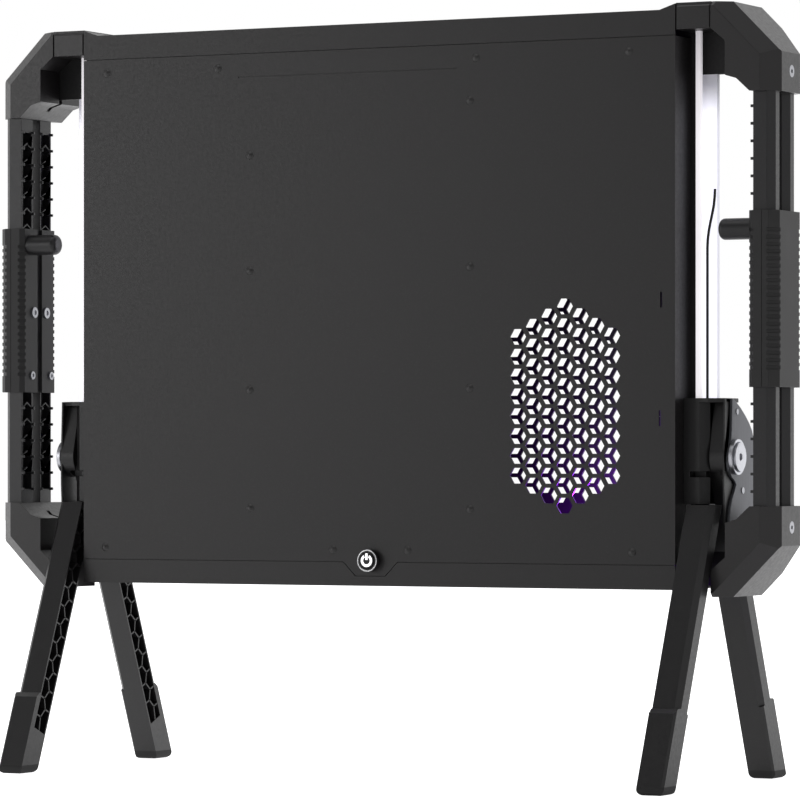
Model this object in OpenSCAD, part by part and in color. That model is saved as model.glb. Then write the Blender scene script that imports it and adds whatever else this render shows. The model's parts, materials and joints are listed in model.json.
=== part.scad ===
// Open-frame portable computer case on a folding A-frame stand, seen with its vented rear cover
// towards -Y. The hub axis of the legs lies over the origin, and the floor is at Z = 0.

/* [Case box] */
// Width of the box between its side walls
case_w = 476.8; // [440:0.1:500]
// Height of the box
case_h = 403.5; // [390:0.5:430]
// Depth of the box, cover face to cover face
case_d = 70; // [66:1:90]
// Height of the box above the floor
case_z = 137.5; // [136:0.5:140]
// Distance of the rear cover's face behind the hub axis
rear_y = 31; // [30:0.5:34]
// Thickness of the folded sheet metal
sheet_t = 1.5; // [1:0.1:2]
// Height of the top rail's visible lip
top_rail_h = 18; // [14:0.5:22]
// Height of the bottom rail's visible lip
bottom_rail_h = 17.2; // [14:0.2:22]
// Width of the open seams between covers, rails and blocks
seam = 0.5; // [0.3:0.1:1]
// Height of the flanges that back the covers
backing_h = 16; // [13:0.5:20]
// Rise of the top rail's ends up to the corner blocks
end_rise = 4; // [2:0.5:4.5]
// Length of the rise at each end of the top rail
end_rise_l = 12; // [8:1:20]

/* [Centre plate] */
// Thickness of the centre plate that carries the box and the ring
plate_t = 3; // [2:0.5:4]
// How far the centre plate stands out beside the box
margin_w = 20; // [16:0.5:20]
// Top edge of the lit margin above the floor
margin_top = 497; // [480:1:505]
// Reach of the corner ears beyond the box wall
ear_reach = 48.6; // [40:0.1:52]
// Height of the lower ears, from the inside of the bottom rail
ear_low_h = 25; // [15:1:27]
// Width of the power supply opening
bay_w = 140; // [110:1:141]
// Height of the power supply opening
bay_h = 172; // [160:1:190]
// Width of the cable slots
slot_w = 64; // [40:1:90]
// Height of the cable slots
slot_h = 18; // [10:1:30]

/* [Vent] */
// Centre of the honeycomb vents right of the middle
vent_x = 153.7; // [150:0.1:158]
// Centre of the honeycomb vents above the floor
vent_z = 265.8; // [262:0.1:280]
// Width of one hexagonal hole across its flats
hex_flat = 11; // [7:0.5:12]
// Distance from one hexagonal hole to the next
hex_pitch = 14; // [13.5:0.1:15]
// Holes in the longest column of the rear vent
hex_rows = 11; // [7:2:11]
// Columns of the front vent left of the rear vent's middle
front_cols_left = 7; // [3:1:7]
// Columns of the front vent right of the rear vent's middle
front_cols_right = 3; // [3:1:6]
// Rows of the front vent below the rear vent's middle
front_rows_low = 4; // [2:1:4]
// Rows of the front vent above the rear vent's middle
front_rows_high = 6; // [2:1:8]

/* [Cover details] */
// Head diameter of the cover screws
screw_head_d = 6; // [5:0.5:8]
// Height of the domed cover screw heads
screw_head_h = 1.7; // [1:0.1:3]
// Thread diameter of the cover screws
screw_d = 3; // [2.5:0.5:4]
// Length of the cover screws under the head
screw_len = 6; // [4:0.5:8]
// Width of the upright struts behind the rear cover
strut_w = 16; // [12:1:20]
// Place of the left strut
strut_left_x = -98.2; // [-110:0.1:-90]
// Place of the right strut
strut_right_x = 79.7; // [70:0.1:81]

/* [Power button] */
// Outer diameter of the switch ring
bezel_d = 16; // [14:0.5:20]
// Diameter of the plunger
plunger_d = 11; // [8:0.2:11]
// Height of the ring over the cover face
bezel_h = 5; // [2:0.2:6]
// Height of the plunger over the ring
plunger_h = 0.8; // [0.2:0.1:1]
// Travel of the plunger
button_travel = 1.5; // [0.5:0.1:2.5]
// Height of the button above the floor
button_z = 155.8; // [155:0.1:157]
// Diameter of the threaded barrel
barrel_d = 13; // [12.4:0.1:14]
// Length of the barrel behind the cover face
barrel_len = 23; // [15:1:25]

/* [Corner brackets] */
// Width of the whole ring
ring_w = 627; // [620:0.5:627.2]
// Depth of the ring
ring_d = 61; // [58:0.5:61.5]
// Height of the ring above and below the box
ring_over = 4.5; // [4:0.5:4.5]
// Width of a corner bracket
bracket_w = 48.5; // [46:0.5:50]
// Height of a corner bracket
bracket_h = 63; // [58:0.5:66]
// Cut-off of the outer corner
corner_cut = 35.5; // [30:0.5:38]
// Rear chamfer along the outer side
side_chamfer = 11.6; // [6:0.2:13]
// Rear chamfer along the cut corner
corner_chamfer = 10; // [4:0.5:12]
// Rear chamfer along the top
top_chamfer = 3; // [1:0.5:5]
// Front chamfer of the outer side, measured across the ring
front_chamfer_w = 20; // [10:0.5:22]
// Front chamfer of the outer side, measured in depth
front_chamfer_d = 15.6; // [8:0.2:17]
// Height of the corner blocks
block_h = 18.6; // [14:0.2:22]
// Width of the bracket's inner gusset
gusset_w = 10.8; // [8:0.2:12]
// Height of the bracket's inner gusset
gusset_h = 9; // [6:0.5:12]

/* [Carrying handles] */
// Width of a rail
rail_w = 15; // [13:0.5:15.5]
// Depth of a rail
rail_d = 16; // [13:0.5:17]
// Clear space between the two rails of a handle
rail_gap = 10.5; // [9:0.5:12]
// Chamfers of the rail's outer corners
rail_chamfer = 4.7; // [2:0.1:5.5]
// Distance of the rails before the ring's rear face
rail_set = 4.5; // [3:0.5:5]
// How far the rails stand inside the ring's outer side
rail_inset = 3.5; // [3:0.5:4.5]
// Depth of the rail sockets in the brackets
socket_d = 8; // [5:0.5:9]
// Distance between the ribs of a rail
rib_pitch = 12.1; // [11:0.1:14]
// Height of the bumps over the rail's inner face
rib_h = 2; // [1:0.1:2.4]
// Thickness of the ribs
rib_t = 1.4; // [1:0.1:3]
// Width of the rail's lips beside its channel
rail_lip = 1.8; // [1.5:0.1:3]
// Depth of the channel in the rail's inner face
rail_pocket_d = 7; // [3:0.5:9]
// Length of a grip
grip_len = 122; // [100:1:140]
// Width of a grip
grip_w = 21.6; // [21:0.1:22]
// Width of the grip's outer half
grip_outer_w = 11.2; // [9:0.1:12]
// Wall of the grip before and behind the rails
grip_wall = 3; // [2.5:0.5:4]
// Chamfers of the outer half's corners over the teeth
grip_chamfer = 6; // [4:0.2:6.4]
// Chamfers of the inner half's corners over the teeth
grip_inner_chamfer = 3; // [1:0.2:3]
// Depth of the notches between the teeth
tooth_h = 1.4; // [0.8:0.1:1.6]
// Distance between the teeth
tooth_pitch = 5; // [4:0.1:8]
// Plain length at each end of a grip
tooth_margin = 9; // [4:0.5:14]
// Width of the groove down the grip's inner side
grip_groove_w = 6.5; // [4:0.5:8]
// Diameter of the peg on the grip
peg_d = 15; // [10:0.2:16]
// Length of the peg
peg_len = 24.6; // [15:0.2:26]
// Height of the peg above the floor
peg_z = 388; // [370:1:390]
// Distance of the peg before the rear cover's face
peg_y = 12.5; // [9:0.5:14]

/* [Side lights] */
// Width of the light bars
bar_w = 3.8; // [2:0.2:5]
// Depth of the light bars
bar_d = 3.8; // [2:0.2:5]
// Gap between the box wall and the light bar
bar_gap = 8.2; // [5:0.2:11]
// Distance of the light bar's middle before the rear cover's face
bar_y = 18.5; // [16:0.5:20]
// Thickness of the diffuser sheets
diffuser_t = 0.8; // [0.5:0.1:1.5]
// Width of the light strips on the plate's front
strip_w = 12; // [6:0.5:16]
// Thickness of the light strips
strip_t = 1.6; // [1:0.1:3]
// Diameter of the light's lead
lead_d = 2; // [1.5:0.1:2.5]

/* [Leg hinges] */
// Height of the hub axis above the floor
hub_z = 230; // [229:0.5:231]
// Diameter of the hub bolt's shank
hub_pin_d = 8; // [6:0.5:10]
// Running clearance of the hub bolt, on the radius
hub_clear = 0.05; // [0.02:0.01:0.1]
// Diameter of the leg knuckles
knuckle_d = 20; // [18:0.5:20]
// Thickness of the housing's inner wall
wall_t = 5; // [4:0.5:5]
// Width of the housing's blocks
block_w = 13.1; // [10:0.1:13.2]
// Thickness of the housing's blocks
block_t = 6; // [4:0.5:6]
// Half depth of the housing
housing_half_d = 17; // [17:0.5:19]
// Bottom of the housing below the hub axis
housing_low = 33; // [30:0.5:34]
// Top of the housing above the hub axis
housing_high = 41; // [38:0.5:44]
// Thickness of the housing's cap
cap_t = 3; // [2:0.5:4]
// Outer radius of the hinge cheeks round the hub
cheek_r = 15; // [14:0.5:16]
// Thickness of the hinge plates
hinge_plate_t = 2; // [1.5:0.5:3]
// Outer diameter of the hub cup
cup_d = 25; // [22:0.5:30]
// Diameter of the hub bolt's head
hub_head_d = 20; // [16:0.5:21]

/* [Legs] */
// Spread of each leg from upright, in degrees
leg_spread = 23; // [21:0.5:25]
// Angle that a leg can close by, in degrees
leg_close = 8; // [4:1:8]
// Width of a leg's two knuckle lanes
leg_w = 18; // [16:0.5:18]
// Extra width of a leg below its shoulder
leg_flare = 2; // [0:0.1:2.4]
// Depth of a leg
leg_d = 18; // [16:0.5:26]
// Cut-off of a leg's outer corners
leg_chamfer = 3.6; // [1:0.1:4.5]
// Gap between neighbouring hinge pieces
hinge_gap = 0.6; // [0.4:0.1:1]
// Height of the foot section
foot_sec_h = 56; // [40:1:70]
// Outward step of the foot section
foot_step = 4; // [1:0.5:5]
// Cut-off of the foot section's outer corners
foot_chamfer = 1.6; // [1:0.1:3]
// Thickness of the rubber sole
sole_t = 6; // [3:0.5:8]
// Radius of the sole's lower edges
sole_round = 4; // [2:0.5:5]
// Width of one honeycomb pocket of a leg across its flats
leg_hex = 12; // [8:0.5:13]
// Rib between the honeycomb pockets
leg_rib = 1.1; // [0.9:0.1:2.4]
// Frame beside the honeycomb
leg_frame = 1.3; // [1:0.1:3]
// Lower end of the honeycomb above the floor
honeycomb_low = 30; // [20:1:60]
// Depth of the honeycomb pockets
leg_pocket_d = 12; // [8:1:14]

/* [Board standoffs] */
// Distance between the board's standoffs, across
board_w = 157.48; // [150:0.01:160]
// Distance between the board's standoffs, upwards
board_h = 154.94; // [150:0.01:160]
// Middle of the board, from the middle of the case
board_x = -112; // [-120:1:-100]
// Middle of the board above the floor
board_z = 372; // [360:1:400]
// Height of the standoffs
standoff_h = 6.5; // [5:0.5:10]
// Width of the standoffs across their flats
standoff_flat = 6; // [5:0.5:7]
// Thread bore of the standoffs
standoff_bore = 2.5; // [2:0.1:3]

/* [Hidden] */
$fn = 48;

// Planes of the box
y_rear = -rear_y;
y_front = case_d - rear_y;
y_rear_in = y_rear + sheet_t;
y_front_in = y_front - sheet_t;
x_wall = case_w / 2;
x_wall_in = x_wall - sheet_t;
fold_clear = 0.2;
x_rail_in = x_wall_in - fold_clear;
z_top = case_z + case_h;
z_top_in = z_top - sheet_t;
z_low_in = case_z + sheet_t;
z_cover_top = z_top - top_rail_h;
z_cover_low = case_z + bottom_rail_h;
z_hub_top = hub_z + housing_high;

// Planes of the ring
x_ring = ring_w / 2;
x_bracket = x_ring - bracket_w;
z_ring_top = z_top + ring_over;
z_ring_mid = case_z + case_h / 2;
z_bracket = z_ring_top - bracket_h;
y_ring_front = y_rear + ring_d;
z_block = z_ring_top - block_h;
z_block_low = 2 * z_ring_mid - z_block;
groove_d = 1;
ear_clear = 0.3;

// Planes of the handles
x_rail_out = x_ring - rail_inset;
x_rail_face = x_rail_out - rail_w;
rail_y = [y_rear + rail_set, y_rear + rail_set + rail_d + rail_gap];
y_grip = y_rear + rail_set - grip_wall;
fit = 0.1;
grip_d = 2 * grip_wall + 2 * rail_d + rail_gap;
x_grip_out = x_rail_out + grip_wall + 0.7;
x_grip_in = x_grip_out - grip_w;
x_grip_split = x_grip_out - grip_outer_w;
peg_tip = x_grip_in - peg_len;

// Lanes of the leg hinges, from the box wall outwards
x_block = x_wall + wall_t;
x_leg = x_block + hinge_gap;
x_leg_mid = x_leg + leg_w / 2;
x_leg_out = x_leg + leg_w;
x_bar_out = x_leg_out + leg_flare;
x_cheek = x_block + block_w + hinge_gap;
x_pocket = x_leg_out + hinge_gap;
x_hinge_plate = x_pocket + 5.7;
x_cup = x_hinge_plate + hinge_plate_t;
pocket_clear = 0.9;
cup_base = 1.5;
cup_rim_h = 3;
cup_rim_w = 2;
hub_head_h = 3;
lobe_y = 13;
lobe_z = -45;
lobe_r = 26.5;

// Holes in the hinge plates as [depth, height, diameter] from the hub
plate_holes = [[-4.3, 31.5, 6.5], [6, -23, 6.5], [-3.5, -43, 4]];
shoulder_clear = 0.4;
shoulder_z = hub_z - housing_low - shoulder_clear;

// Screw places on the covers, as [x, z]
row_high = z_top - 28;
row_low = case_z + 26;
column_left_z = [row_low + 29.5, row_low + 115.3, row_low + 201.5, row_low + 285.5];
column_right_z = [row_low + 29.5, row_low + 115.3, row_low + 201.5, row_low + 319.5];
slot_list = [[-165, row_low + 52], [-30, row_low + 52], [-30, row_high - 50]];
edge_screws = [
    [-218.5, row_high], [-124.8, row_high], [84.5, row_high], [203.3, row_high],
    [-220, row_low], [-30, row_low], [30, row_low], [205.6, row_low]
];
strut_screws = concat(
    [for (z = column_left_z) [strut_left_x, z]],
    [for (z = column_right_z) [strut_right_x, z]]
);
screw_clear = 0.2;

// Outline of the cover's tab round the power button
tab_half = 22;
tab_slope = 10;
tab_low = button_z - 10.9;

// Marks in the rear cover's skin
groove_span = [-108, 69];
slit_h = 11;
slit_w = 1.5;
slit_places = [[227, 334], [226, 251.5]];

// Grip screws as [distance from the rear face, height, head diameter]
grip_screw_list = [[17.5, 338, 8], [34.8, 338, 8], [14.7, 291, 6], [41.3, 291, 6]];
bracket_screw_z = z_ring_top - 48.2;
bracket_screw_d = 8.6;

// Middle line of the light's lead, on the right-hand diffuser
lead_route = [
    [257.2, 417], [257, 412], [256.4, 406], [255.2, 400], [253.8, 394],
    [252.6, 388], [251.8, 382], [251.5, 376], [251.5, 370]
];
lead_steps = 20;

function lead_points() = concat(
    lead_route,
    [for (i = [1:lead_steps]) [251.5, 370 - (370 - z_hub_top) * i / lead_steps]]
);

// Turns a piece of the right-hand side to the left when s is negative
module on_side(s) {
    mirror([s < 0 ? 1 : 0, 0, 0]) children();
}

// Turns a piece of the top half of the ring to the bottom when s is negative
module on_level(s) {
    translate([0, 0, s < 0 ? 2 * z_ring_mid : 0]) mirror([0, 0, s < 0 ? 1 : 0]) children();
}

// Extrudes an X-Z outline between two depths
module deep(y0, y1) {
    translate([0, y1, 0]) rotate([90, 0, 0]) linear_extrude(y1 - y0) children();
}

// Extrudes a Y-Z outline between two widths
module wide(x0, x1) {
    translate([x0, 0, 0]) rotate([90, 0, 90]) linear_extrude(x1 - x0) children();
}

module box(low, high) {
    translate(low) cube(high - low);
}

// Round hole or shaft along Y
module along_y(x, z, d, y0, y1) {
    translate([x, y0, z]) rotate([-90, 0, 0]) cylinder(d = d, h = y1 - y0);
}

// Round hole or shaft along X
module along_x(y, z, d, x0, x1) {
    translate([x0, y, z]) rotate([0, 90, 0]) cylinder(d = d, h = x1 - x0);
}

// Honeycomb of the vents, as holes in an X-Z outline
module vent_holes() {
    col = hex_pitch * cos(30);
    half = (hex_rows - 5) / 2;
    for (c = [-half:half]) {
        rows = hex_rows - abs(c);
        for (r = [0:rows - 1]) {
            translate([vent_x + c * col, vent_z + (r - (rows - 1) / 2) * hex_pitch])
                circle(d = hex_flat / cos(30), $fn = 6);
        }
    }
}

// Larger field of the same honeycomb for the front cover
module front_holes() {
    col = hex_pitch * cos(30);
    for (c = [-front_cols_left:front_cols_right]) {
        shift = c % 2 == 0 ? 0 : 0.5;
        for (r = [-front_rows_low:front_rows_high])
            translate([vent_x + c * col, vent_z + (r - shift) * hex_pitch])
                circle(d = hex_flat / cos(30), $fn = 6);
    }
}

module screw_holes(list) {
    for (p = list) translate(p) circle(d = screw_d + 2 * screw_clear, $fn = 24);
}

// Lower edge of the rear cover with its tab, grown by a seam
module tab_outline(grow) {
    top = z_cover_low + seam;
    polygon([
        [-tab_half - grow, top], [-tab_half + tab_slope - grow / 2, tab_low - grow],
        [tab_half - tab_slope + grow / 2, tab_low - grow], [tab_half + grow, top]
    ]);
}

module rear_cover() {
    color("#3b393a") {
        difference() {
            deep(y_rear, y_rear_in) {
                difference() {
                    union() {
                        translate([-x_wall, z_cover_low + seam / 2])
                            square([case_w, z_cover_top - z_cover_low - seam]);
                        tab_outline(0);
                    }
                    vent_holes();
                    screw_holes(edge_screws);
                    screw_holes(strut_screws);
                    translate([0, button_z]) circle(d = barrel_d + seam);
                    for (p = slit_places) translate(p) square([slit_w, slit_h]);
                }
            }
            box([groove_span[0], y_rear - 1, z_top - 35.4],
                [groove_span[1], y_rear + sheet_t / 3, z_top - 34.6]);
        }
        for (s = [-1, 1]) on_side(s)
            box([x_wall_in, y_rear_in, z_cover_low + seam / 2], [x_wall, -plate_t, z_cover_top - seam / 2]);
    }
}

module front_cover() {
    color("#2c2a2b") {
        deep(y_front_in, y_front) {
            difference() {
                translate([-x_wall, z_cover_low + seam / 2])
                    square([case_w, z_cover_top - z_cover_low - seam]);
                front_holes();
                screw_holes(edge_screws);
            }
        }
        for (s = [-1, 1]) on_side(s)
            box([x_wall_in, 0, z_cover_low + seam / 2], [x_wall, y_front_in, z_cover_top - seam / 2]);
    }
}

// Channel that closes one end of the box: skin, two lips and two backing flanges
module channel_profile(z_skin, z_skin_in, z_lip, z_back) {
    low = min(z_skin, z_skin_in);
    lip_low = min(z_skin, z_lip);
    lip_high = max(z_skin, z_lip);
    back_low = min(z_skin_in, z_back);
    back_high = max(z_skin_in, z_back);
    translate([y_rear, low]) square([case_d, sheet_t]);
    translate([y_rear, lip_low]) square([sheet_t, lip_high - lip_low]);
    translate([y_front_in, lip_low]) square([sheet_t, lip_high - lip_low]);
    translate([y_rear_in, back_low]) square([sheet_t, back_high - back_low]);
    translate([y_front_in - sheet_t, back_low]) square([sheet_t, back_high - back_low]);
}

module top_rail() {
    lip = z_cover_top + seam / 2;
    color("#343233") {
        difference() {
            union() {
                wide(-x_rail_in, x_rail_in) channel_profile(z_top, z_top_in, lip, z_cover_top - backing_h);
                for (s = [-1, 1]) on_side(s) {
                    box([x_rail_in, y_rear, z_top_in], [x_wall, y_front, z_top]);
                    box([x_rail_in, y_rear, lip], [x_wall, y_rear_in, z_top]);
                    box([x_rail_in, y_front_in, lip], [x_wall, y_front, z_top]);
                    deep(y_rear, y_ring_front)
                        polygon([[x_wall - end_rise_l, z_top], [x_wall, z_top], [x_wall, z_top + end_rise]]);
                }
            }
            deep(y_rear_in, y_front_in) screw_holes(edge_screws);
        }
    }
}

module bottom_rail() {
    lip = z_cover_low - seam / 2;
    color("#343233") {
        difference() {
            union() {
                wide(-x_rail_in, x_rail_in) channel_profile(case_z, z_low_in, lip, z_cover_low + backing_h);
                for (s = [-1, 1]) on_side(s) {
                    box([x_rail_in, y_rear, case_z], [x_wall, y_front, z_low_in]);
                    box([x_rail_in, y_rear, case_z], [x_wall, y_rear_in, lip]);
                    box([x_rail_in, y_front_in, case_z], [x_wall, y_front, lip]);
                }
            }
            deep(y_rear - 1, y_rear_in) tab_outline(seam);
            deep(y_rear_in, y_front_in) screw_holes(edge_screws);
            along_y(0, button_z, barrel_d + seam, y_rear, 0);
        }
    }
}

module centre_plate() {
    ear_x = x_wall + ear_reach;
    color("#1d1c1d") {
        deep(-plate_t, 0) {
            difference() {
                union() {
                    translate([-x_rail_in, z_low_in]) square([2 * x_rail_in, z_top_in - z_low_in]);
                    translate([-x_wall - margin_w, z_hub_top])
                        square([2 * (x_wall + margin_w), margin_top - z_hub_top]);
                    translate([-ear_x, margin_top]) square([2 * ear_x, z_block - margin_top]);
                    translate([-ear_x, z_block_low]) square([2 * ear_x, z_low_in + ear_low_h - z_block_low]);
                }
                translate([vent_x + 5 - bay_w / 2, vent_z - bay_h / 2]) square([bay_w, bay_h]);
                for (p = slot_list) translate([p[0] - slot_w / 2, p[1]]) square([slot_w, slot_h]);
            }
        }
    }
}

// Upright channel behind the rear cover that takes a column of screws
module cover_strut(x) {
    low = z_cover_low + backing_h + seam;
    high = z_cover_top - backing_h - seam;
    color("#4a494b") {
        difference() {
            box([x - strut_w / 2, y_rear_in, low], [x + strut_w / 2, -plate_t, high]);
            box([x - strut_w / 2 + sheet_t, y_rear_in + sheet_t, low - 1], [x + strut_w / 2 - sheet_t, 1, high + 1]);
            deep(y_rear, 0) screw_holes(strut_screws);
        }
    }
}

// Filler block between the box and a top bracket, with an open seam on each side
module corner_block(s) {
    color("#413f40") on_side(s) {
        box([x_wall, y_rear + groove_d, z_block], [x_bracket, y_ring_front, z_ring_top]);
        wide(x_wall + 2 * seam, x_bracket - 2 * seam)
            polygon([
                [y_rear, z_block], [y_rear, z_ring_top - top_chamfer],
                [y_rear + top_chamfer, z_ring_top], [y_rear + top_chamfer, z_block]
            ]);
    }
}

// Corner casting: its X-Z outline cut by the chamfers of side, cut corner and top
module bracket(s, level) {
    zf = z_bracket;
    diag = (x_ring + z_ring_top - corner_cut) / sqrt(2);
    color("#3f3d3e") on_level(level) on_side(s) {
        difference() {
            intersection() {
                deep(y_rear, y_ring_front)
                    polygon([
                        [x_bracket, z_ring_top], [x_ring - corner_cut, z_ring_top],
                        [x_ring, z_ring_top - corner_cut], [x_ring, zf],
                        [x_rail_face - 1, zf], [x_rail_face - gusset_w, zf + gusset_h],
                        [x_bracket + gusset_w, zf + gusset_h + 2.5],
                        [x_bracket + gusset_w, z_block - gusset_h], [x_bracket, z_block]
                    ]);
                translate([0, 0, zf - 1]) linear_extrude(bracket_h + 2)
                    polygon([
                        [x_bracket - 1, y_rear], [x_ring - side_chamfer, y_rear],
                        [x_ring, y_rear + side_chamfer], [x_ring, y_ring_front - front_chamfer_d],
                        [x_ring - front_chamfer_w, y_ring_front], [x_bracket - 1, y_ring_front]
                    ]);
                rotate([0, -45, 0]) linear_extrude(2 * ring_w, center = true)
                    polygon([
                        [0, y_rear], [diag - corner_chamfer, y_rear],
                        [diag, y_rear + corner_chamfer], [diag, y_ring_front], [0, y_ring_front]
                    ]);
                wide(x_bracket - 1, x_ring + 1)
                    polygon([
                        [y_rear, zf - 1], [y_rear, z_ring_top - top_chamfer],
                        [y_rear + top_chamfer, z_ring_top], [y_ring_front, z_ring_top],
                        [y_ring_front, zf - 1]
                    ]);
            }
            box([x_bracket - 1, -plate_t - groove_d, zf - 1],
                [x_wall + ear_reach + ear_clear, 0, z_block + ear_clear]);
            for (y = rail_y) translate([0, 0, zf - 1]) linear_extrude(socket_d + 1) rail_outline(y, fit);
            along_x(-groove_d, bracket_screw_z, bracket_screw_d + 2 * fit, x_ring - 1.4, x_ring + 1);
            along_x(-groove_d, bracket_screw_z, 4 + 2 * screw_clear, x_ring - 9, x_ring);
        }
    }
}

// Outline of a rail in X-Y, grown by g
module rail_outline(y, g) {
    c = rail_chamfer + g * (sqrt(2) - 1) * sqrt(2);
    polygon([
        [x_rail_face - g, y - g], [x_rail_out + g - c, y - g], [x_rail_out + g, y - g + c],
        [x_rail_out + g, y + rail_d + g - c], [x_rail_out + g - c, y + rail_d + g],
        [x_rail_face - g, y + rail_d + g]
    ]);
}

// Handle rail: chamfered outside, a channel with bent cross ribs on the inner side
module rail(s, y) {
    low = 2 * z_ring_mid - z_bracket - socket_d;
    high = z_bracket + socket_d;
    count = floor((high - low - 2 * socket_d - rib_pitch) / rib_pitch);
    start = z_ring_mid - count / 2 * rib_pitch;
    y0 = y + rail_lip;
    y1 = y + rail_d - rail_lip;
    bend = rail_d / 4;
    color("#3a383b") on_side(s) {
        difference() {
            translate([0, 0, low]) linear_extrude(high - low) rail_outline(y, 0);
            wide(x_rail_face - 1, x_rail_face + rail_pocket_d) difference() {
                translate([y0, start]) square([y1 - y0, count * rib_pitch]);
                for (i = [1:count - 1]) translate([0, start + i * rib_pitch]) polygon([
                    [y0 - 1, -rib_t / 2], [y + rail_d / 2, bend - rib_t / 2], [y1 + 1, -rib_t / 2],
                    [y1 + 1, rib_t / 2], [y + rail_d / 2, bend + rib_t / 2], [y0 - 1, rib_t / 2]
                ]);
            }
        }
        for (i = [0:count]) {
            z = start + i * rib_pitch;
            inside = abs(z - z_ring_mid) < grip_len / 2 + rib_t;
            if (!inside) for (yb = [y, y1]) box([x_rail_face - rib_h, yb, z - 1], [x_rail_face, yb + rail_lip, z + 1]);
        }
    }
}

// Outline of a grip half in X-Y, with its two outer corners cut by c
module grip_outline(x_edge, x_split, c) {
    dir = x_edge > x_split ? -1 : 1;
    y0 = y_grip;
    y1 = y_grip + grip_d;
    polygon([
        [x_split, y0], [x_edge + dir * c, y0], [x_edge, y0 + c],
        [x_edge, y1 - c], [x_edge + dir * c, y1], [x_split, y1]
    ]);
}

// Half of a grip round the two rails, toothed between its plain ends
module grip_half(x_edge, x_split, c) {
    low = z_ring_mid - grip_len / 2;
    span = grip_len - 2 * tooth_margin;
    notches = floor(span / tooth_pitch);
    start = z_ring_mid - (notches - 0.5) * tooth_pitch / 2;
    difference() {
        union() {
            translate([0, 0, low]) linear_extrude(grip_len) grip_outline(x_edge, x_split, c + tooth_h);
            for (i = [0:notches]) {
                z0 = i == 0 ? low : start + (i - 0.5) * tooth_pitch;
                z1 = i == notches ? low + grip_len : start + i * tooth_pitch;
                translate([0, 0, z0]) linear_extrude(z1 - z0) grip_outline(x_edge, x_split, c);
            }
        }
        for (y = rail_y) translate([0, 0, low - 1]) linear_extrude(grip_len + 2) rail_outline(y, fit);
    }
}

module grip_outer(s) {
    color("#2b2a2b") on_side(s) grip_half(x_grip_out, x_grip_split + fit / 2, grip_chamfer);
}

module grip_inner(s) {
    ym = y_grip + grip_d / 2;
    color("#232223") on_side(s) difference() {
        grip_half(x_grip_in, x_grip_split - fit / 2, grip_inner_chamfer);
        box([x_grip_in - 1, ym - grip_groove_w / 2, z_ring_mid - grip_len],
            [x_grip_in + 2, ym + grip_groove_w / 2, z_ring_mid + grip_len]);
        for (p = grip_screw_list)
            along_x(y_rear + p[0], p[1], p[2] / 2 + 2 * screw_clear, x_grip_in - 1, x_rail_face);
    }
}

module grip_peg(s) {
    edge = 3.7;
    color("#2a292b") on_side(s) translate([peg_tip, y_rear + peg_y, peg_z]) rotate([0, 90, 0]) rotate_extrude()
        union() {
            translate([0, edge]) square([peg_d / 2, peg_len - edge]);
            square([peg_d / 2 - edge, peg_len]);
            translate([peg_d / 2 - edge, edge]) circle(r = edge);
        }
}

module grip_screws() {
    head_h = 1.2;
    color("#8f9094") for (s = [-1, 1]) on_side(s) for (p = grip_screw_list) difference() {
        union() {
            along_x(y_rear + p[0], p[1], p[2], x_grip_in - head_h, x_grip_in);
            along_x(y_rear + p[0], p[1], p[2] / 2, x_grip_in, x_rail_face - fit - screw_clear);
        }
        translate([x_grip_in - head_h - 1, y_rear + p[0], p[1]]) rotate([0, 90, 0])
            cylinder(d = p[2] / 2, h = 1.7, $fn = 6);
    }
}

module light_bar(s) {
    x = x_wall + bar_gap;
    y = y_rear + bar_y - bar_d / 2;
    color("#f4f2f4") on_side(s) box([x, y, z_hub_top], [x + bar_w, y + bar_d, z_block]);
}

module diffuser(s) {
    color("#dcdcE4") on_side(s)
        box([x_wall, -plate_t - diffuser_t, z_hub_top], [x_wall + margin_w, -plate_t, margin_top]);
}

module light_strip(s) {
    mid = x_wall + margin_w / 2;
    color("#7a2fd0") on_side(s)
        box([mid - strip_w / 2, 0, z_hub_top + 4], [mid + strip_w / 2, strip_t, margin_top - 6]);
}

// Eight-sided tube that lies on the diffuser
module light_lead() {
    pts = lead_points();
    sides = 8;
    n = len(pts);
    y = -plate_t - diffuser_t - lead_d / 2 - fit;
    slope = [for (i = [0:n - 1])
        let (a = pts[max(i - 1, 0)], b = pts[min(i + 1, n - 1)]) atan2(b[0] - a[0], a[1] - b[1])];
    ring = [for (i = [0:n - 1]) for (k = [0:sides - 1])
        let (t = k * 360 / sides, u = lead_d / 2 * cos(t), w = i == n - 1 ? 0 : slope[i])
        [pts[i][0] + u * cos(w), y + lead_d / 2 * sin(t), pts[i][1] + u * sin(w)]];
    walls = [for (i = [0:n - 2]) for (k = [0:sides - 1])
        let (a = i * sides + k, b = i * sides + (k + 1) % sides) [a, b, b + sides, a + sides]];
    color("#0c0c0c") polyhedron(
        points = ring,
        faces = concat(
            walls,
            [[for (k = [sides - 1:-1:0]) k]],
            [[for (k = [0:sides - 1]) (n - 1) * sides + k]]
        )
    );
}

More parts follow.
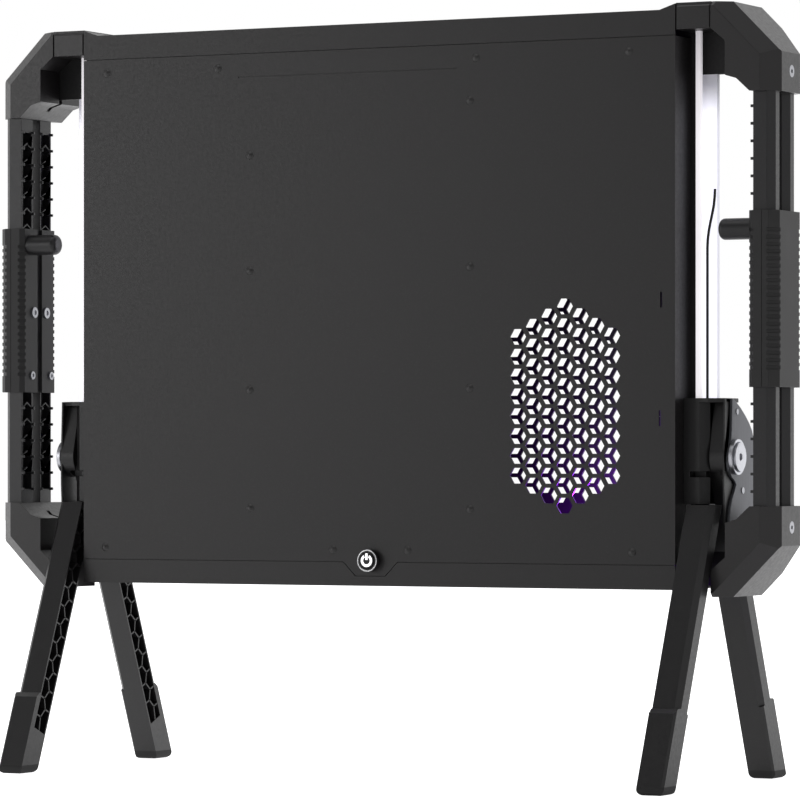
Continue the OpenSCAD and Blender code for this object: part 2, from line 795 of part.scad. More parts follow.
// Fixed housing: inner wall, split blocks before and behind the knuckles, and cap
module hinge_housing(s) {
    x_far = x_block + block_w;
    slope = block_t;
    yo = housing_half_d;
    gap = [hub_z - 14, hub_z - 10];
    low = hub_z - housing_low;
    color("#353436") on_side(s) {
        difference() {
            wide(x_wall, x_block) translate([-yo, low]) square([2 * yo, z_hub_top - low]);
            along_x(0, hub_z, hub_pin_d + 2 * hub_clear, x_wall - 1, x_block + 1);
        }
        for (m = [0, 1]) mirror([0, m, 0]) for (z = [[low, gap[0]], [gap[1], z_hub_top]])
            translate([0, 0, z[0]]) linear_extrude(z[1] - z[0])
                polygon([
                    [x_block, -yo], [x_far - slope, -yo], [x_far, slope - yo], [x_block, slope - yo]
                ]);
        translate([0, 0, z_hub_top - cap_t]) linear_extrude(cap_t)
            polygon([
                [x_wall, -yo], [x_cheek, -yo], [x_hinge_plate, -yo + 6],
                [x_hinge_plate, yo - 6], [x_cheek, yo], [x_wall, yo]
            ]);
    }
}

// Teardrop cheek that stands from the cap down round the hub
module hinge_cheek(s) {
    half_top = 6;
    h = housing_high - cap_t;
    reach = sqrt(h * h + half_top * half_top);
    beta = asin(cheek_r / reach) - atan2(half_top, h);
    pocket = knuckle_d / 2 + pocket_clear;
    color("#302f31") on_side(s) translate([0, 0, hub_z]) difference() {
        union() {
            wide(x_cheek, x_hinge_plate) circle(r = cheek_r);
            wide(x_cheek, x_hinge_plate) polygon([
                [-cheek_r * cos(beta), cheek_r * sin(beta)], [-half_top, h],
                [half_top, h], [cheek_r * cos(beta), cheek_r * sin(beta)], [0, 0]
            ]);
        }
        wide(x_cheek - 1, x_pocket) {
            circle(r = pocket);
            translate([-pocket, -2 * cheek_r]) square([4 * cheek_r, 2 * cheek_r]);
        }
        along_x(0, 0, hub_pin_d + 2 * hub_clear, x_cheek, x_hinge_plate + 1);
    }
}

// Light plate with an upper lobe under the cap's edge and a round lower lobe
module hinge_plate(s) {
    color("#707277") on_side(s) difference() {
        translate([0, 0, hub_z]) union() {
            wide(x_hinge_plate, x_cup) polygon([
                [-11, housing_high], [-8, housing_high], [26, 20], [30, 12],
                [30, -16], [6, -22], [-6, -12], [-11, 4]
            ]);
            along_x(0, 0, cup_d + 2, x_hinge_plate, x_cup);
            intersection() {
                along_x(lobe_y, lobe_z, 2 * lobe_r, x_hinge_plate, x_cup);
                box([x_hinge_plate, -hub_z, lobe_z - 3], [x_cup, hub_z, 0]);
            }
        }
        for (h = plate_holes) along_x(h[0], hub_z + h[1], h[2], x_hinge_plate - 1, x_cup + 1);
        along_x(0, hub_z, hub_pin_d + 2 * hub_clear, x_hinge_plate - 1, x_cup + 1);
    }
}

module hub_cup(s) {
    color("#9a9ba0") on_side(s) difference() {
        along_x(0, hub_z, cup_d, x_cup, x_cup + cup_rim_h);
        along_x(0, hub_z, cup_d - 2 * cup_rim_w, x_cup + cup_base, x_cup + cup_rim_h + 1);
        along_x(0, hub_z, hub_pin_d + 2 * hub_clear, x_cup - 1, x_cup + cup_base + 1);
    }
}

module hub_bolt(s) {
    x_head = x_cup + cup_base;
    color("#c9cad0") on_side(s) difference() {
        union() {
            along_x(0, hub_z, hub_pin_d, x_wall + seam, x_head);
            along_x(0, hub_z, hub_head_d, x_head, x_head + hub_head_h);
        }
        translate([x_head + hub_head_h - 2, 0, hub_z]) rotate([0, 90, 0]) cylinder(d = 5.5, h = 3, $fn = 6);
    }
}

// Beam outline in Y-Z about the hub, leaning to the rear
module beam() {
    rotate(-leg_spread) translate([-leg_d / 2, -2 * hub_z]) square([leg_d, 2 * hub_z]);
}

// Part of the floor-to-shoulder band between two heights above the floor
module band(low, high) {
    translate([-hub_z, low - hub_z]) square([2 * hub_z, high - low]);
}

// Bar along the leg with cut outer corners, grown outwards in depth by step
module leg_bar(step, c) {
    y0 = -leg_d / 2 - step;
    y1 = leg_d / 2;
    rotate([-leg_spread, 0, 0]) translate([0, 0, -2 * hub_z]) linear_extrude(2 * hub_z) polygon([
        [x_leg, y0], [x_bar_out - c, y0], [x_bar_out, y0 + c],
        [x_bar_out, y1 - c], [x_bar_out - c, y1], [x_leg, y1]
    ]);
}

// Leg half that carries the knuckle
module leg_knuckle_half() {
    r = knuckle_d / 2;
    low = shoulder_z - hub_z - 1;
    near = leg_d / 2 / cos(leg_spread) + low * tan(leg_spread);
    difference() {
        union() {
            circle(r = r);
            polygon([[-r, 0], [0.6 * r, 0], [0.6 * r, -0.8 * r], [near, low], [-r, low]]);
        }
        circle(d = hub_pin_d + 2 * hub_clear);
    }
}

// Space that the other leg's beam takes when both are closed
module other_leg() {
    clear = leg_d / 2 + shoulder_clear;
    rotate(-leg_spread) rotate(2 * (leg_spread - leg_close))
        translate([-clear, -2 * hub_z]) square([2 * hub_z, 4 * hub_z]);
}

// Honeycomb in the leg's inner face, inside a narrow frame
module leg_honeycomb() {
    pitch = leg_hex + leg_rib;
    half = leg_d / 2 - leg_frame;
    top = (hub_z - shoulder_z + 8) / cos(leg_spread);
    low = (hub_z - honeycomb_low) / cos(leg_spread);
    rotate(-leg_spread) intersection() {
        translate([-half, -low]) square([2 * half, low - top]);
        for (c = [-0.5, 0.5]) for (i = [0:floor((low - top) / pitch) + 1])
            translate([c * pitch * cos(30), -top - (i + c) * pitch])
                circle(d = leg_hex / cos(30), $fn = 6);
    }
}

// Foot section in Y-Z: the bar with an outward step over a short slope
module foot_outline() {
    top = (hub_z - foot_sec_h) / cos(leg_spread);
    rotate(-leg_spread) polygon([
        [-leg_d / 2, -top], [-leg_d / 2 - foot_step, -top - 1.6 * foot_step],
        [-leg_d / 2 - foot_step, -2 * hub_z], [leg_d / 2, -2 * hub_z], [leg_d / 2, -top]
    ]);
}

// One leg; the rear leg has its knuckle in the inner half, the front leg in the outer half
module leg(s, rear) {
    lane = rear ? [x_leg, x_leg_mid - hinge_gap / 2] : [x_leg_mid + hinge_gap / 2, x_leg_out];
    color("#2d2b2d") on_side(s) mirror([0, rear ? 0 : 1, 0]) translate([0, 0, hub_z]) difference() {
        union() {
            wide(lane[0], lane[1]) leg_knuckle_half();
            difference() {
                intersection() {
                    leg_bar(0, leg_chamfer);
                    wide(x_leg, x_bar_out) band(sole_t, shoulder_z);
                }
                if (rear) wide(lane[1], x_bar_out + 1) other_leg();
                if (!rear) wide(x_leg - 1, lane[0]) other_leg();
                if (!rear) wide(lane[1], x_bar_out + 1) other_leg();
            }
            intersection() {
                leg_bar(foot_step, foot_chamfer);
                wide(x_leg, x_bar_out) intersection() {
                    foot_outline();
                    band(sole_t, foot_sec_h + 2);
                }
            }
        }
        wide(x_leg - 1, x_leg + leg_pocket_d) leg_honeycomb();
    }
}

// Rubber sole, flush with the foot section and rounded below
module foot(s, rear) {
    color("#151515") on_side(s) mirror([0, rear ? 0 : 1, 0]) translate([0, 0, hub_z]) intersection() {
        leg_bar(foot_step, foot_chamfer);
        wide(x_leg, x_bar_out) intersection() {
            band(0, sole_t);
            offset(r = sole_round) offset(delta = -sole_round) intersection() {
                foot_outline();
                band(0, foot_sec_h / 2);
            }
        }
        deep(-hub_z, hub_z) offset(r = sole_round) offset(delta = -sole_round)
            translate([x_leg, -hub_z]) square([x_bar_out - x_leg, foot_sec_h / 2]);
    }
}

module button_bezel() {
    color("#e9edf2") difference() {
        along_y(0, button_z, bezel_d, y_rear - bezel_h, y_rear);
        along_y(0, button_z, plunger_d + 0.6, y_rear - bezel_h - 1, y_rear + 1);
    }
}

module power_button() {
    color("#161617") along_y(0, button_z, plunger_d, y_rear - bezel_h - plunger_h, y_rear + 4);
}

module button_barrel() {
    color("#8c8d90") difference() {
        along_y(0, button_z, barrel_d, y_rear, y_rear + barrel_len);
        along_y(0, button_z, plunger_d + 0.6, y_rear - 1, y_rear + 4 + button_travel + 0.5);
    }
}

module button_nut() {
    color("#9fa0a3") difference() {
        translate([0, y_rear_in + sheet_t, button_z]) rotate([-90, 0, 0]) cylinder(d = 19, h = 3.5, $fn = 6);
        along_y(0, button_z, barrel_d + 2 * fit, y_rear, 0);
    }
}

// Domed screw that points along +Y from the face at Y = 0
module dome_screw() {
    r = (screw_head_d * screw_head_d / 4 + screw_head_h * screw_head_h) / (2 * screw_head_h);
    rotate([90, 0, 0]) rotate_extrude() intersection() {
        translate([0, screw_head_h - r]) circle(r = r);
        square([screw_head_d / 2, screw_head_h]);
    }
    along_y(0, 0, screw_d, 0, screw_len);
}

module cover_screws() {
    color("#5a595b") for (p = concat(edge_screws, strut_screws)) translate([p[0], y_rear, p[1]]) dome_screw();
}

module front_screws() {
    color("#5a595b") for (p = edge_screws) translate([p[0], y_front, p[1]]) mirror([0, 1, 0]) dome_screw();
}

module bracket_screws() {
    color("#b5b6bb") for (level = [-1, 1]) on_level(level) for (s = [-1, 1]) on_side(s) difference() {
        union() {
            along_x(-groove_d, bracket_screw_z, bracket_screw_d, x_ring - 1.3, x_ring);
            along_x(-groove_d, bracket_screw_z, 4, x_ring - 8, x_ring - 1.3);
        }
        translate([x_ring - 2, -groove_d, bracket_screw_z]) rotate([0, 90, 0]) cylinder(d = 3.2, h = 3, $fn = 6);
    }
}

module board_standoffs() {
    color("#c2a14e") for (i = [-0.5, 0.5]) for (k = [-0.5, 0.5]) difference() {
        translate([board_x + i * board_w, 0, board_z + k * board_h]) rotate([-90, 0, 0])
            cylinder(d = standoff_flat / cos(30), h = standoff_h, $fn = 6);
        along_y(board_x + i * board_w, board_z + k * board_h, standoff_bore, -1, standoff_h + 1);
    }
}

rear_cover();
front_cover();
top_rail();
bottom_rail();
centre_plate();
cover_strut(strut_left_x);  // cover_strut_left
cover_strut(strut_right_x);  // cover_strut_right
corner_block(-1);  // corner_block_left
corner_block(1);  // corner_block_right
bracket(-1, 1);  // bracket_top_left
bracket(1, 1);  // bracket_top_right
bracket(-1, -1);  // bracket_bottom_left
bracket(1, -1);  // bracket_bottom_right
rail(-1, rail_y[0]);  // rail_rear_left
rail(1, rail_y[0]);  // rail_rear_right
rail(-1, rail_y[1]);  // rail_front_left
rail(1, rail_y[1]);  // rail_front_right
grip_outer(-1);  // grip_outer_left
grip_outer(1);  // grip_outer_right
grip_inner(-1);  // grip_inner_left
grip_inner(1);  // grip_inner_right
grip_peg(-1);  // grip_peg_left
grip_peg(1);  // grip_peg_right
grip_screws();
light_bar(-1);  // light_bar_left
light_bar(1);  // light_bar_right
diffuser(-1);  // diffuser_left
diffuser(1);  // diffuser_right
light_strip(-1);  // light_strip_left
light_strip(1);  // light_strip_right
light_lead();
hinge_housing(-1);  // hinge_housing_left
hinge_housing(1);  // hinge_housing_right
hinge_cheek(-1);  // hinge_cheek_left
hinge_cheek(1);  // hinge_cheek_right
hinge_plate(-1);  // hinge_plate_left
hinge_plate(1);  // hinge_plate_right
hub_cup(-1);  // hub_cup_left
hub_cup(1);  // hub_cup_right
hub_bolt(-1);  // hub_bolt_left
hub_bolt(1);  // hub_bolt_right
leg(-1, true);  // leg_rear_left
leg(1, true);  // leg_rear_right
leg(-1, false);  // leg_front_left
leg(1, false);  // leg_front_right
foot(-1, true);  // foot_rear_left
foot(1, true);  // foot_rear_right
foot(-1, false);  // foot_front_left
foot(1, false);  // foot_front_right
button_bezel();
power_button();
button_barrel();
button_nut();
cover_screws();
front_screws();
bracket_screws();
board_standoffs();
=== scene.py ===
"""Looks of the open-frame portable computer case: finishes, softened edges, lit pieces and the studio.

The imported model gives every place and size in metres: +Z up, the vented rear cover towards -Y.
"""

import json
import logging
import math
from dataclasses import dataclass, field
from enum import Enum

import bmesh
import bpy
from mathutils import Matrix, Vector

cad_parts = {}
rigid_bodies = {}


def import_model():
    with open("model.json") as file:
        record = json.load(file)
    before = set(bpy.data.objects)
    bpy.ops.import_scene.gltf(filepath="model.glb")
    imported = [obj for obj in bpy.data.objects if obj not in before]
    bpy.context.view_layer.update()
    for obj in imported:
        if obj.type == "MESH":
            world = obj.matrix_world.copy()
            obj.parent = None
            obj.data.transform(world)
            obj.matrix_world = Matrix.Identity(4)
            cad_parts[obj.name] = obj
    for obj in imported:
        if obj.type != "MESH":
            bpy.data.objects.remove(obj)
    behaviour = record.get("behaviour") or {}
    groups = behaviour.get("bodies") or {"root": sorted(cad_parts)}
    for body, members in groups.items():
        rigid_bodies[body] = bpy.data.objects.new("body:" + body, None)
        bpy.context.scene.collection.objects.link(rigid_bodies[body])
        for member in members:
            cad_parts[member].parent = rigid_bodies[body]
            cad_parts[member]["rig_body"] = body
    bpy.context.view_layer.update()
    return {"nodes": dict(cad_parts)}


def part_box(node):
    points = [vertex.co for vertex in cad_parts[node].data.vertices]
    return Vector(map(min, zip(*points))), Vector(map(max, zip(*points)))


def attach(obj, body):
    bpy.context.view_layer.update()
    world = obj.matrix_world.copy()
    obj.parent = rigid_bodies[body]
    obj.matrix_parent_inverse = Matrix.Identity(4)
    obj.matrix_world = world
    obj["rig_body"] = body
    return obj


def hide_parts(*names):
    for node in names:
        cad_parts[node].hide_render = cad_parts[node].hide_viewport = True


LOG = logging.getLogger("portable_case")
MM = 0.001
SIDES = ("left", "right")
SIGNED_SIDES = (("left", -1), ("right", 1))
MERGE_MM = 0.002
FLAT_DEG = 0.5
BEVEL_FROM_DEG = 28.0
LARGE_FACES_LEAD = 100
ROUND_STEPS = 28


def linear(hex_code: str) -> tuple[float, float, float, float]:
    """Turns an sRGB hex value into a linear colour.

    Args:
        hex_code: six hex digits, such as "3e3c3d".

    Returns:
        Red, green, blue and an alpha of 1.
    """
    parts = [int(hex_code[i:i + 2], 16) / 255 for i in (0, 2, 4)]
    return (*(p / 12.92 if p <= 0.04045 else ((p + 0.055) / 1.055) ** 2.4 for p in parts), 1.0)


def add_node(tree: bpy.types.NodeTree, kind: str, settings: dict, links: dict) -> bpy.types.Node:
    """Adds one shader node with its settings and links.

    Args:
        tree: the node tree that takes the node.
        kind: the node's type name.
        settings: socket names or numbers, or the node's own properties, with their values.
        links: socket names or numbers with the output sockets that feed them.

    Returns:
        The new node.
    """
    node = tree.nodes.new(kind)
    for key, value in settings.items():
        if isinstance(key, str) and key not in node.inputs:
            setattr(node, key, value)
    for key, value in settings.items():
        if not isinstance(key, str) or key in node.inputs:
            node.inputs[key].default_value = value
    for key, source in links.items():
        tree.links.new(source, node.inputs[key])
    return node


def new_material(name: str) -> tuple[bpy.types.Material, bpy.types.NodeTree, bpy.types.NodeSocket]:
    """Makes an empty node material that reads Object coordinates.

    Args:
        name: the material's name.

    Returns:
        The material, its node tree and the Object coordinate output in metres.
    """
    material = bpy.data.materials.new(name)
    material.use_nodes = True
    tree = material.node_tree
    tree.nodes.clear()
    place = add_node(tree, "ShaderNodeTexCoord", {}, {})
    return material, tree, place.outputs["Object"]


def close_material(tree: bpy.types.NodeTree, shader: bpy.types.Node) -> None:
    """Links a shader to the material's output."""
    add_node(tree, "ShaderNodeOutputMaterial", {}, {"Surface": shader.outputs[0]})


@dataclass(frozen=True)
class PowderCoat:
    """Matt powder coat baked on metal: a fine orange peel with tiny lighter flecks."""

    name: str
    colour: str
    fleck: str
    roughness: float = 0.5
    grain_mm: float = 0.9
    peel_mm: float = 2.4
    bump_mm: float = 0.05
    specular: float = 0.5

    def material(self) -> bpy.types.Material:
        """Builds the coat. The powder's own grain is 0.1 mm, drawn coarser so that it shows."""
        material, tree, place = new_material(self.name)
        grain = add_node(tree, "ShaderNodeTexNoise", {"Scale": 1 / (self.grain_mm * MM), "Detail": 3.0},
                         {"Vector": place})
        peel = add_node(tree, "ShaderNodeTexNoise", {"Scale": 1 / (self.peel_mm * MM), "Detail": 2.0},
                        {"Vector": place})
        speck = add_node(tree, "ShaderNodeMapRange",
                         {"From Min": 0.55, "From Max": 0.75, "To Min": 0.0, "To Max": 0.5},
                         {"Value": grain.outputs["Fac"]})
        colour = add_node(tree, "ShaderNodeMix",
                       {"data_type": "RGBA", 6: linear(self.colour), 7: linear(self.fleck)},
                          {0: speck.outputs[0]})
        rough = add_node(tree, "ShaderNodeMapRange",
                         {"From Min": 0.3, "From Max": 0.7,
                          "To Min": self.roughness - 0.05, "To Max": self.roughness + 0.05},
                         {"Value": peel.outputs["Fac"]})
        height = add_node(tree, "ShaderNodeMath", {"operation": "ADD"},
                          {0: grain.outputs["Fac"], 1: peel.outputs["Fac"]})
        bump = add_node(tree, "ShaderNodeBump", {"Strength": 0.5, "Distance": self.bump_mm * MM},
                        {"Height": height.outputs[0]})
        shader = add_node(tree, "ShaderNodeBsdfPrincipled", {"Specular IOR Level": self.specular},
                          {"Base Color": colour.outputs[2], "Roughness": rough.outputs[0],
                           "Normal": bump.outputs[0]})
        close_material(tree, shader)
        return material


@dataclass(frozen=True)
class Moulding:
    """Moulded plastic or rubber with a spark-eroded grain, which scatters light evenly."""

    name: str
    colour: str
    worn: str
    roughness: float
    grain_mm: float
    bump_mm: float = 0.06
    specular: float = 0.5

    def material(self) -> bpy.types.Material:
        """Builds the moulding's skin from one cell pattern and one slow mottle."""
        material, tree, place = new_material(self.name)
        cells = add_node(tree, "ShaderNodeTexVoronoi",
                         {"feature": "SMOOTH_F1", "Scale": 1 / (self.grain_mm * MM)}, {"Vector": place})
        mottle = add_node(tree, "ShaderNodeTexNoise", {"Scale": 60.0, "Detail": 4.0}, {"Vector": place})
        share = add_node(tree, "ShaderNodeMapRange",
                         {"From Min": 0.4, "From Max": 0.75, "To Min": 0.0, "To Max": 0.6},
                         {"Value": mottle.outputs["Fac"]})
        colour = add_node(tree, "ShaderNodeMix",
                       {"data_type": "RGBA", 6: linear(self.colour), 7: linear(self.worn)},
                          {0: share.outputs[0]})
        rough = add_node(tree, "ShaderNodeMapRange",
                         {"To Min": self.roughness - 0.06, "To Max": self.roughness + 0.06},
                         {"Value": mottle.outputs["Fac"]})
        bump = add_node(tree, "ShaderNodeBump", {"Strength": 0.6, "Distance": self.bump_mm * MM},
                        {"Height": cells.outputs["Distance"]})
        shader = add_node(tree, "ShaderNodeBsdfPrincipled", {"Specular IOR Level": self.specular},
                          {"Base Color": colour.outputs[2], "Roughness": rough.outputs[0],
                           "Normal": bump.outputs[0]})
        close_material(tree, shader)
        return material


@dataclass(frozen=True)
class TurnedMetal:
    """Machined metal: fine tool rings round an axis along X, or along Y on the button's pieces."""

    name: str
    colour: str
    centre: tuple[float, float, float]
    along_y: bool = False
    ring_mm: float = 0.5
    roughness: float = 0.32

    def material(self) -> bpy.types.Material:
        """Builds the metal. The tool marks are 0.1 mm apart, drawn coarser so that they show."""
        material, tree, place = new_material(self.name)
        middle = add_node(tree, "ShaderNodeMapping", {"Location": tuple(-c for c in self.centre)},
                          {"Vector": place})
        parts = add_node(tree, "ShaderNodeSeparateXYZ", {}, {"Vector": middle.outputs[0]})
        across = parts.outputs["X" if self.along_y else "Y"]
        flat = add_node(tree, "ShaderNodeCombineXYZ", {}, {"X": across, "Y": parts.outputs["Z"]})
        radius = add_node(tree, "ShaderNodeVectorMath", {"operation": "LENGTH"}, {0: flat.outputs[0]})
        wave = add_node(tree, "ShaderNodeMath",
                        {"operation": "MULTIPLY", 1: 2 * math.pi / (self.ring_mm * MM)},
                        {0: radius.outputs["Value"]})
        ring = add_node(tree, "ShaderNodeMath", {"operation": "SINE"}, {0: wave.outputs[0]})
        cloud = add_node(tree, "ShaderNodeTexNoise", {"Scale": 350.0, "Detail": 3.0}, {"Vector": place})
        rough = add_node(tree, "ShaderNodeMapRange",
                         {"To Min": self.roughness - 0.08, "To Max": self.roughness + 0.1},
                         {"Value": cloud.outputs["Fac"]})
        bump = add_node(tree, "ShaderNodeBump", {"Strength": 0.25, "Distance": 0.02 * MM},
                        {"Height": ring.outputs[0]})
        shader = add_node(tree, "ShaderNodeBsdfPrincipled",
                          {"Metallic": 1.0, "Base Color": linear(self.colour)},
                          {"Roughness": rough.outputs[0], "Normal": bump.outputs[0]})
        close_material(tree, shader)
        return material


@dataclass(frozen=True)
class BrushedSheet:
    """Rolled aluminium sheet, brushed upwards, with a bead-blasted greyness."""

    name: str
    colour: str
    dark: str
    roughness: float = 0.48
    line_mm: float = 0.5

    def material(self) -> bpy.types.Material:
        """Builds the sheet. Brush lines are 0.1 mm wide, drawn coarser so that they show."""
        material, tree, place = new_material(self.name)
        stretch = add_node(tree, "ShaderNodeMapping", {"Scale": (1.0, 1.0, 0.03)}, {"Vector": place})
        lines = add_node(tree, "ShaderNodeTexNoise", {"Scale": 1 / (self.line_mm * MM), "Detail": 3.0},
                         {"Vector": stretch.outputs[0]})
        colour = add_node(tree, "ShaderNodeMix",
                       {"data_type": "RGBA", 6: linear(self.colour), 7: linear(self.dark)},
                          {0: lines.outputs["Fac"]})
        bump = add_node(tree, "ShaderNodeBump", {"Strength": 0.3, "Distance": 0.03 * MM},
                        {"Height": lines.outputs["Fac"]})
        shader = add_node(tree, "ShaderNodeBsdfPrincipled", {"Metallic": 0.6, "Roughness": self.roughness},
                          {"Base Color": colour.outputs[2], "Normal": bump.outputs[0]})
        close_material(tree, shader)
        return material


@dataclass(frozen=True)
class LitAcrylic:
    """Opal acrylic lit through its edge: cool white, unlit above a height, and dark and unlit within a set
    reach of the box.
    """

    name: str
    lit: str
    warm: str
    strength: float
    fade_from: float
    fade_to: float
    lit_beyond: float = 0.2462
    near_box_colour: str = "1b1a1b"

    def material(self) -> bpy.types.Material:
        """Builds the glow, which ends between two heights, and the dark, unlit band near the box, both in
        metres.
        """
        material, tree, place = new_material(self.name)
        parts = add_node(tree, "ShaderNodeSeparateXYZ", {}, {"Vector": place})
        fade = add_node(tree, "ShaderNodeMapRange",
                        {"interpolation_type": "SMOOTHSTEP", "From Min": self.fade_from,
                         "From Max": self.fade_to, "To Min": self.strength, "To Max": 0.0},
                        {"Value": parts.outputs["Z"]})
        cloud = add_node(tree, "ShaderNodeTexNoise", {"Scale": 14.0, "Detail": 1.0}, {"Vector": place})
        tint = add_node(tree, "ShaderNodeMix",
                       {"data_type": "RGBA", 6: linear(self.lit), 7: linear(self.warm)},
                        {0: cloud.outputs["Fac"]})
        # Within lit_beyond of the middle the piece is drawn dark and gets no glow.
        reach = add_node(tree, "ShaderNodeMath", {"operation": "ABSOLUTE"}, {0: parts.outputs["X"]})
        clear = add_node(tree, "ShaderNodeMath", {"operation": "GREATER_THAN", 1: self.lit_beyond},
                         {0: reach.outputs[0]})
        near_box_tint = add_node(tree, "ShaderNodeMix", {"data_type": "RGBA", 6: linear(self.near_box_colour)},
                          {0: clear.outputs[0], 7: tint.outputs[2]})
        glow = add_node(tree, "ShaderNodeMath", {"operation": "MULTIPLY"},
                        {0: fade.outputs[0], 1: clear.outputs[0]})
        shader = add_node(tree, "ShaderNodeBsdfPrincipled", {"Roughness": 0.35},
                          {"Base Color": near_box_tint.outputs[2], "Emission Color": near_box_tint.outputs[2],
                           "Emission Strength": glow.outputs[0]})
        close_material(tree, shader)
        return material


@dataclass(frozen=True)
class LedStrip:
    """Flexible strip with a row of violet diodes: a bright spot at each, dim between them."""

    name: str
    glow: str
    base: str
    pitch_mm: float = 16.6
    strength: float = 3.0

    def material(self) -> bpy.types.Material:
        """Builds the spots as a cosine along the strip's height."""
        material, tree, place = new_material(self.name)
        parts = add_node(tree, "ShaderNodeSeparateXYZ", {}, {"Vector": place})
        phase = add_node(tree, "ShaderNodeMath",
                         {"operation": "MULTIPLY", 1: 2 * math.pi / (self.pitch_mm * MM)},
                         {0: parts.outputs["Z"]})
        wave = add_node(tree, "ShaderNodeMath", {"operation": "COSINE"}, {0: phase.outputs[0]})
        power = add_node(tree, "ShaderNodeMapRange",
                         {"From Min": 0.2, "From Max": 1.0, "To Min": 0.4, "To Max": self.strength},
                         {"Value": wave.outputs[0]})
        shader = add_node(tree, "ShaderNodeBsdfPrincipled",
                          {"Base Color": linear(self.base), "Emission Color": linear(self.glow),
                           "Roughness": 0.3},
                          {"Emission Strength": power.outputs[0]})
        close_material(tree, shader)
        return material


class Finish(Enum):
    """Every finish of the case."""

    COVER = PowderCoat("cover_powder_coat", "171516", "282627", roughness=0.42)
    INNER = PowderCoat("inner_powder_coat", "0c0b0c", "181718", roughness=0.6)
    RING = PowderCoat("cast_ring_powder_coat", "1a1819", "2b292b", roughness=0.38)
    RAIL = PowderCoat("rail_anodised_black", "1a191b", "2b2a2d", roughness=0.4, bump_mm=0.03)
    LEG = PowderCoat("leg_powder_coat", "151415", "272628", roughness=0.4)
    HINGE = PowderCoat("hinge_powder_coat", "151415", "282729", roughness=0.42)
    GRIP = Moulding("grip_moulded_nylon", "171617", "262526", 0.58, 0.8)
    PEG = Moulding("peg_satin_moulding", "161517", "242325", 0.42, 1.2, bump_mm=0.02)
    BOOT = Moulding("boot_black_rubber", "121112", "201f20", 0.72, 1.0)
    LEAD = Moulding("lead_black_jacket", "070707", "111111", 0.5, 0.6, bump_mm=0.02)
    PLUNGER = Moulding("plunger_black_gloss", "0c0c0d", "131314", 0.22, 2.0, bump_mm=0.005)
    SCREW = PowderCoat("black_oxide_screw", "2a2929", "424144", roughness=0.4, bump_mm=0.02)
    HUB = TurnedMetal("hub_turned_aluminium", "c9cad0", (0.0, 0.0, 0.230))
    STEEL = TurnedMetal("bright_plated_steel", "a9aaaf", (0.0, 0.0, 0.0), roughness=0.36)
    SWITCH_BODY = PowderCoat("switch_anodised_black", "141314", "222123", roughness=0.34, bump_mm=0.01)
    SWITCH_RING = TurnedMetal("switch_bright_edge", "d6d6d8", (0.0, 0.0, 0.1558),
                              along_y=True, roughness=0.25)
    BRASS = TurnedMetal("standoff_turned_brass", "c9a25a", (0.0, 0.0, 0.0), roughness=0.3)
    PLATE = BrushedSheet("hinge_plate_grey", "77787d", "5a5b60")
    MARK = LitAcrylic("lit_power_mark", "f2f2f6", "ffffff", 1.0, 1.0, 2.0, lit_beyond=-1.0)
    BAR = LitAcrylic("lit_edge_bar", "f4f2f4", "d9d4da", 0.75, 0.44, 0.62)
    DIFFUSER = LitAcrylic("lit_diffuser", "e6e7f4", "f6f4fb", 1.0, 0.462, 0.494)
    FOLD = LitAcrylic("lit_diffuser_fold", "cfcfdc", "dadae2", 0.62, 0.46, 0.494)
    VIOLET = LedStrip("violet_led_strip", "7a2fff", "3a1c70")


MADE: dict[Finish, bpy.types.Material] = {}


def material_of(finish: Finish) -> bpy.types.Material:
    """Returns the finish's material, made once."""
    if finish not in MADE:
        MADE[finish] = finish.value.material()
    return MADE[finish]


class EdgeForm(Enum):
    """How an edge is rounded: radius in millimetres and number of facets."""

    SHEET = (0.35, 2)
    CASTING = (0.9, 3)
    EXTRUSION = (0.6, 2)
    MOULDING = (0.4, 2)
    MACHINED = (0.3, 2)


def dress(node: bpy.types.Object, finish: Finish) -> None:
    """Gives a CAD node one finish, on all its material slots."""
    node.data.materials.clear()
    node.data.materials.append(material_of(finish))


def finish_shading(mesh: bpy.types.Mesh, sharp_angle: float) -> None:
    """Shades a mesh smooth, apart from the edges that turn by more than an angle in degrees."""
    mesh.polygons.foreach_set("use_smooth", [True] * len(mesh.polygons))
    mesh.set_sharp_from_angle(angle=math.radians(sharp_angle))


def new_piece(name: str, work: bmesh.types.BMesh, finish: Finish,
              sharp_angle: float = 35.0) -> bpy.types.Object:
    """Turns a bmesh into an object with its finish.

    Args:
        name: the piece's name.
        work: the bmesh, which is freed.
        finish: the finish of its first material slot.
        sharp_angle: edges that turn by more than this, in degrees, stay sharp.

    Returns:
        The new object, at the origin.
    """
    mesh = bpy.data.meshes.new(name)
    work.to_mesh(mesh)
    work.free()
    finish_shading(mesh, sharp_angle)
    mesh.materials.append(material_of(finish))
    piece = bpy.data.objects.new(name, mesh)
    bpy.context.scene.collection.objects.link(piece)
    return piece


def joined_copy(node: bpy.types.Object) -> bmesh.types.BMesh:
    """Copies a CAD node's mesh and joins its loose triangles."""
    work = bmesh.new()
    work.from_mesh(node.data)
    bmesh.ops.remove_doubles(work, verts=work.verts, dist=MERGE_MM * MM)
    return work


def clear_flat_faces(work: bmesh.types.BMesh) -> None:
    """Clears the lines across the flat faces."""
    bmesh.ops.dissolve_limit(work, angle_limit=math.radians(FLAT_DEG), verts=work.verts, edges=work.edges)


def merged_copy(node: bpy.types.Object) -> bmesh.types.BMesh:
    """Copies a CAD node's mesh with joined triangles and clean flat faces."""
    work = joined_copy(node)
    clear_flat_faces(work)
    return work


def place_piece(piece: bpy.types.Object, node: bpy.types.Object) -> None:
    """Lets a piece ride on its CAD node's body and stand for the node, which it hides."""
    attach(piece, node["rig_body"])
    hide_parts(node.name)


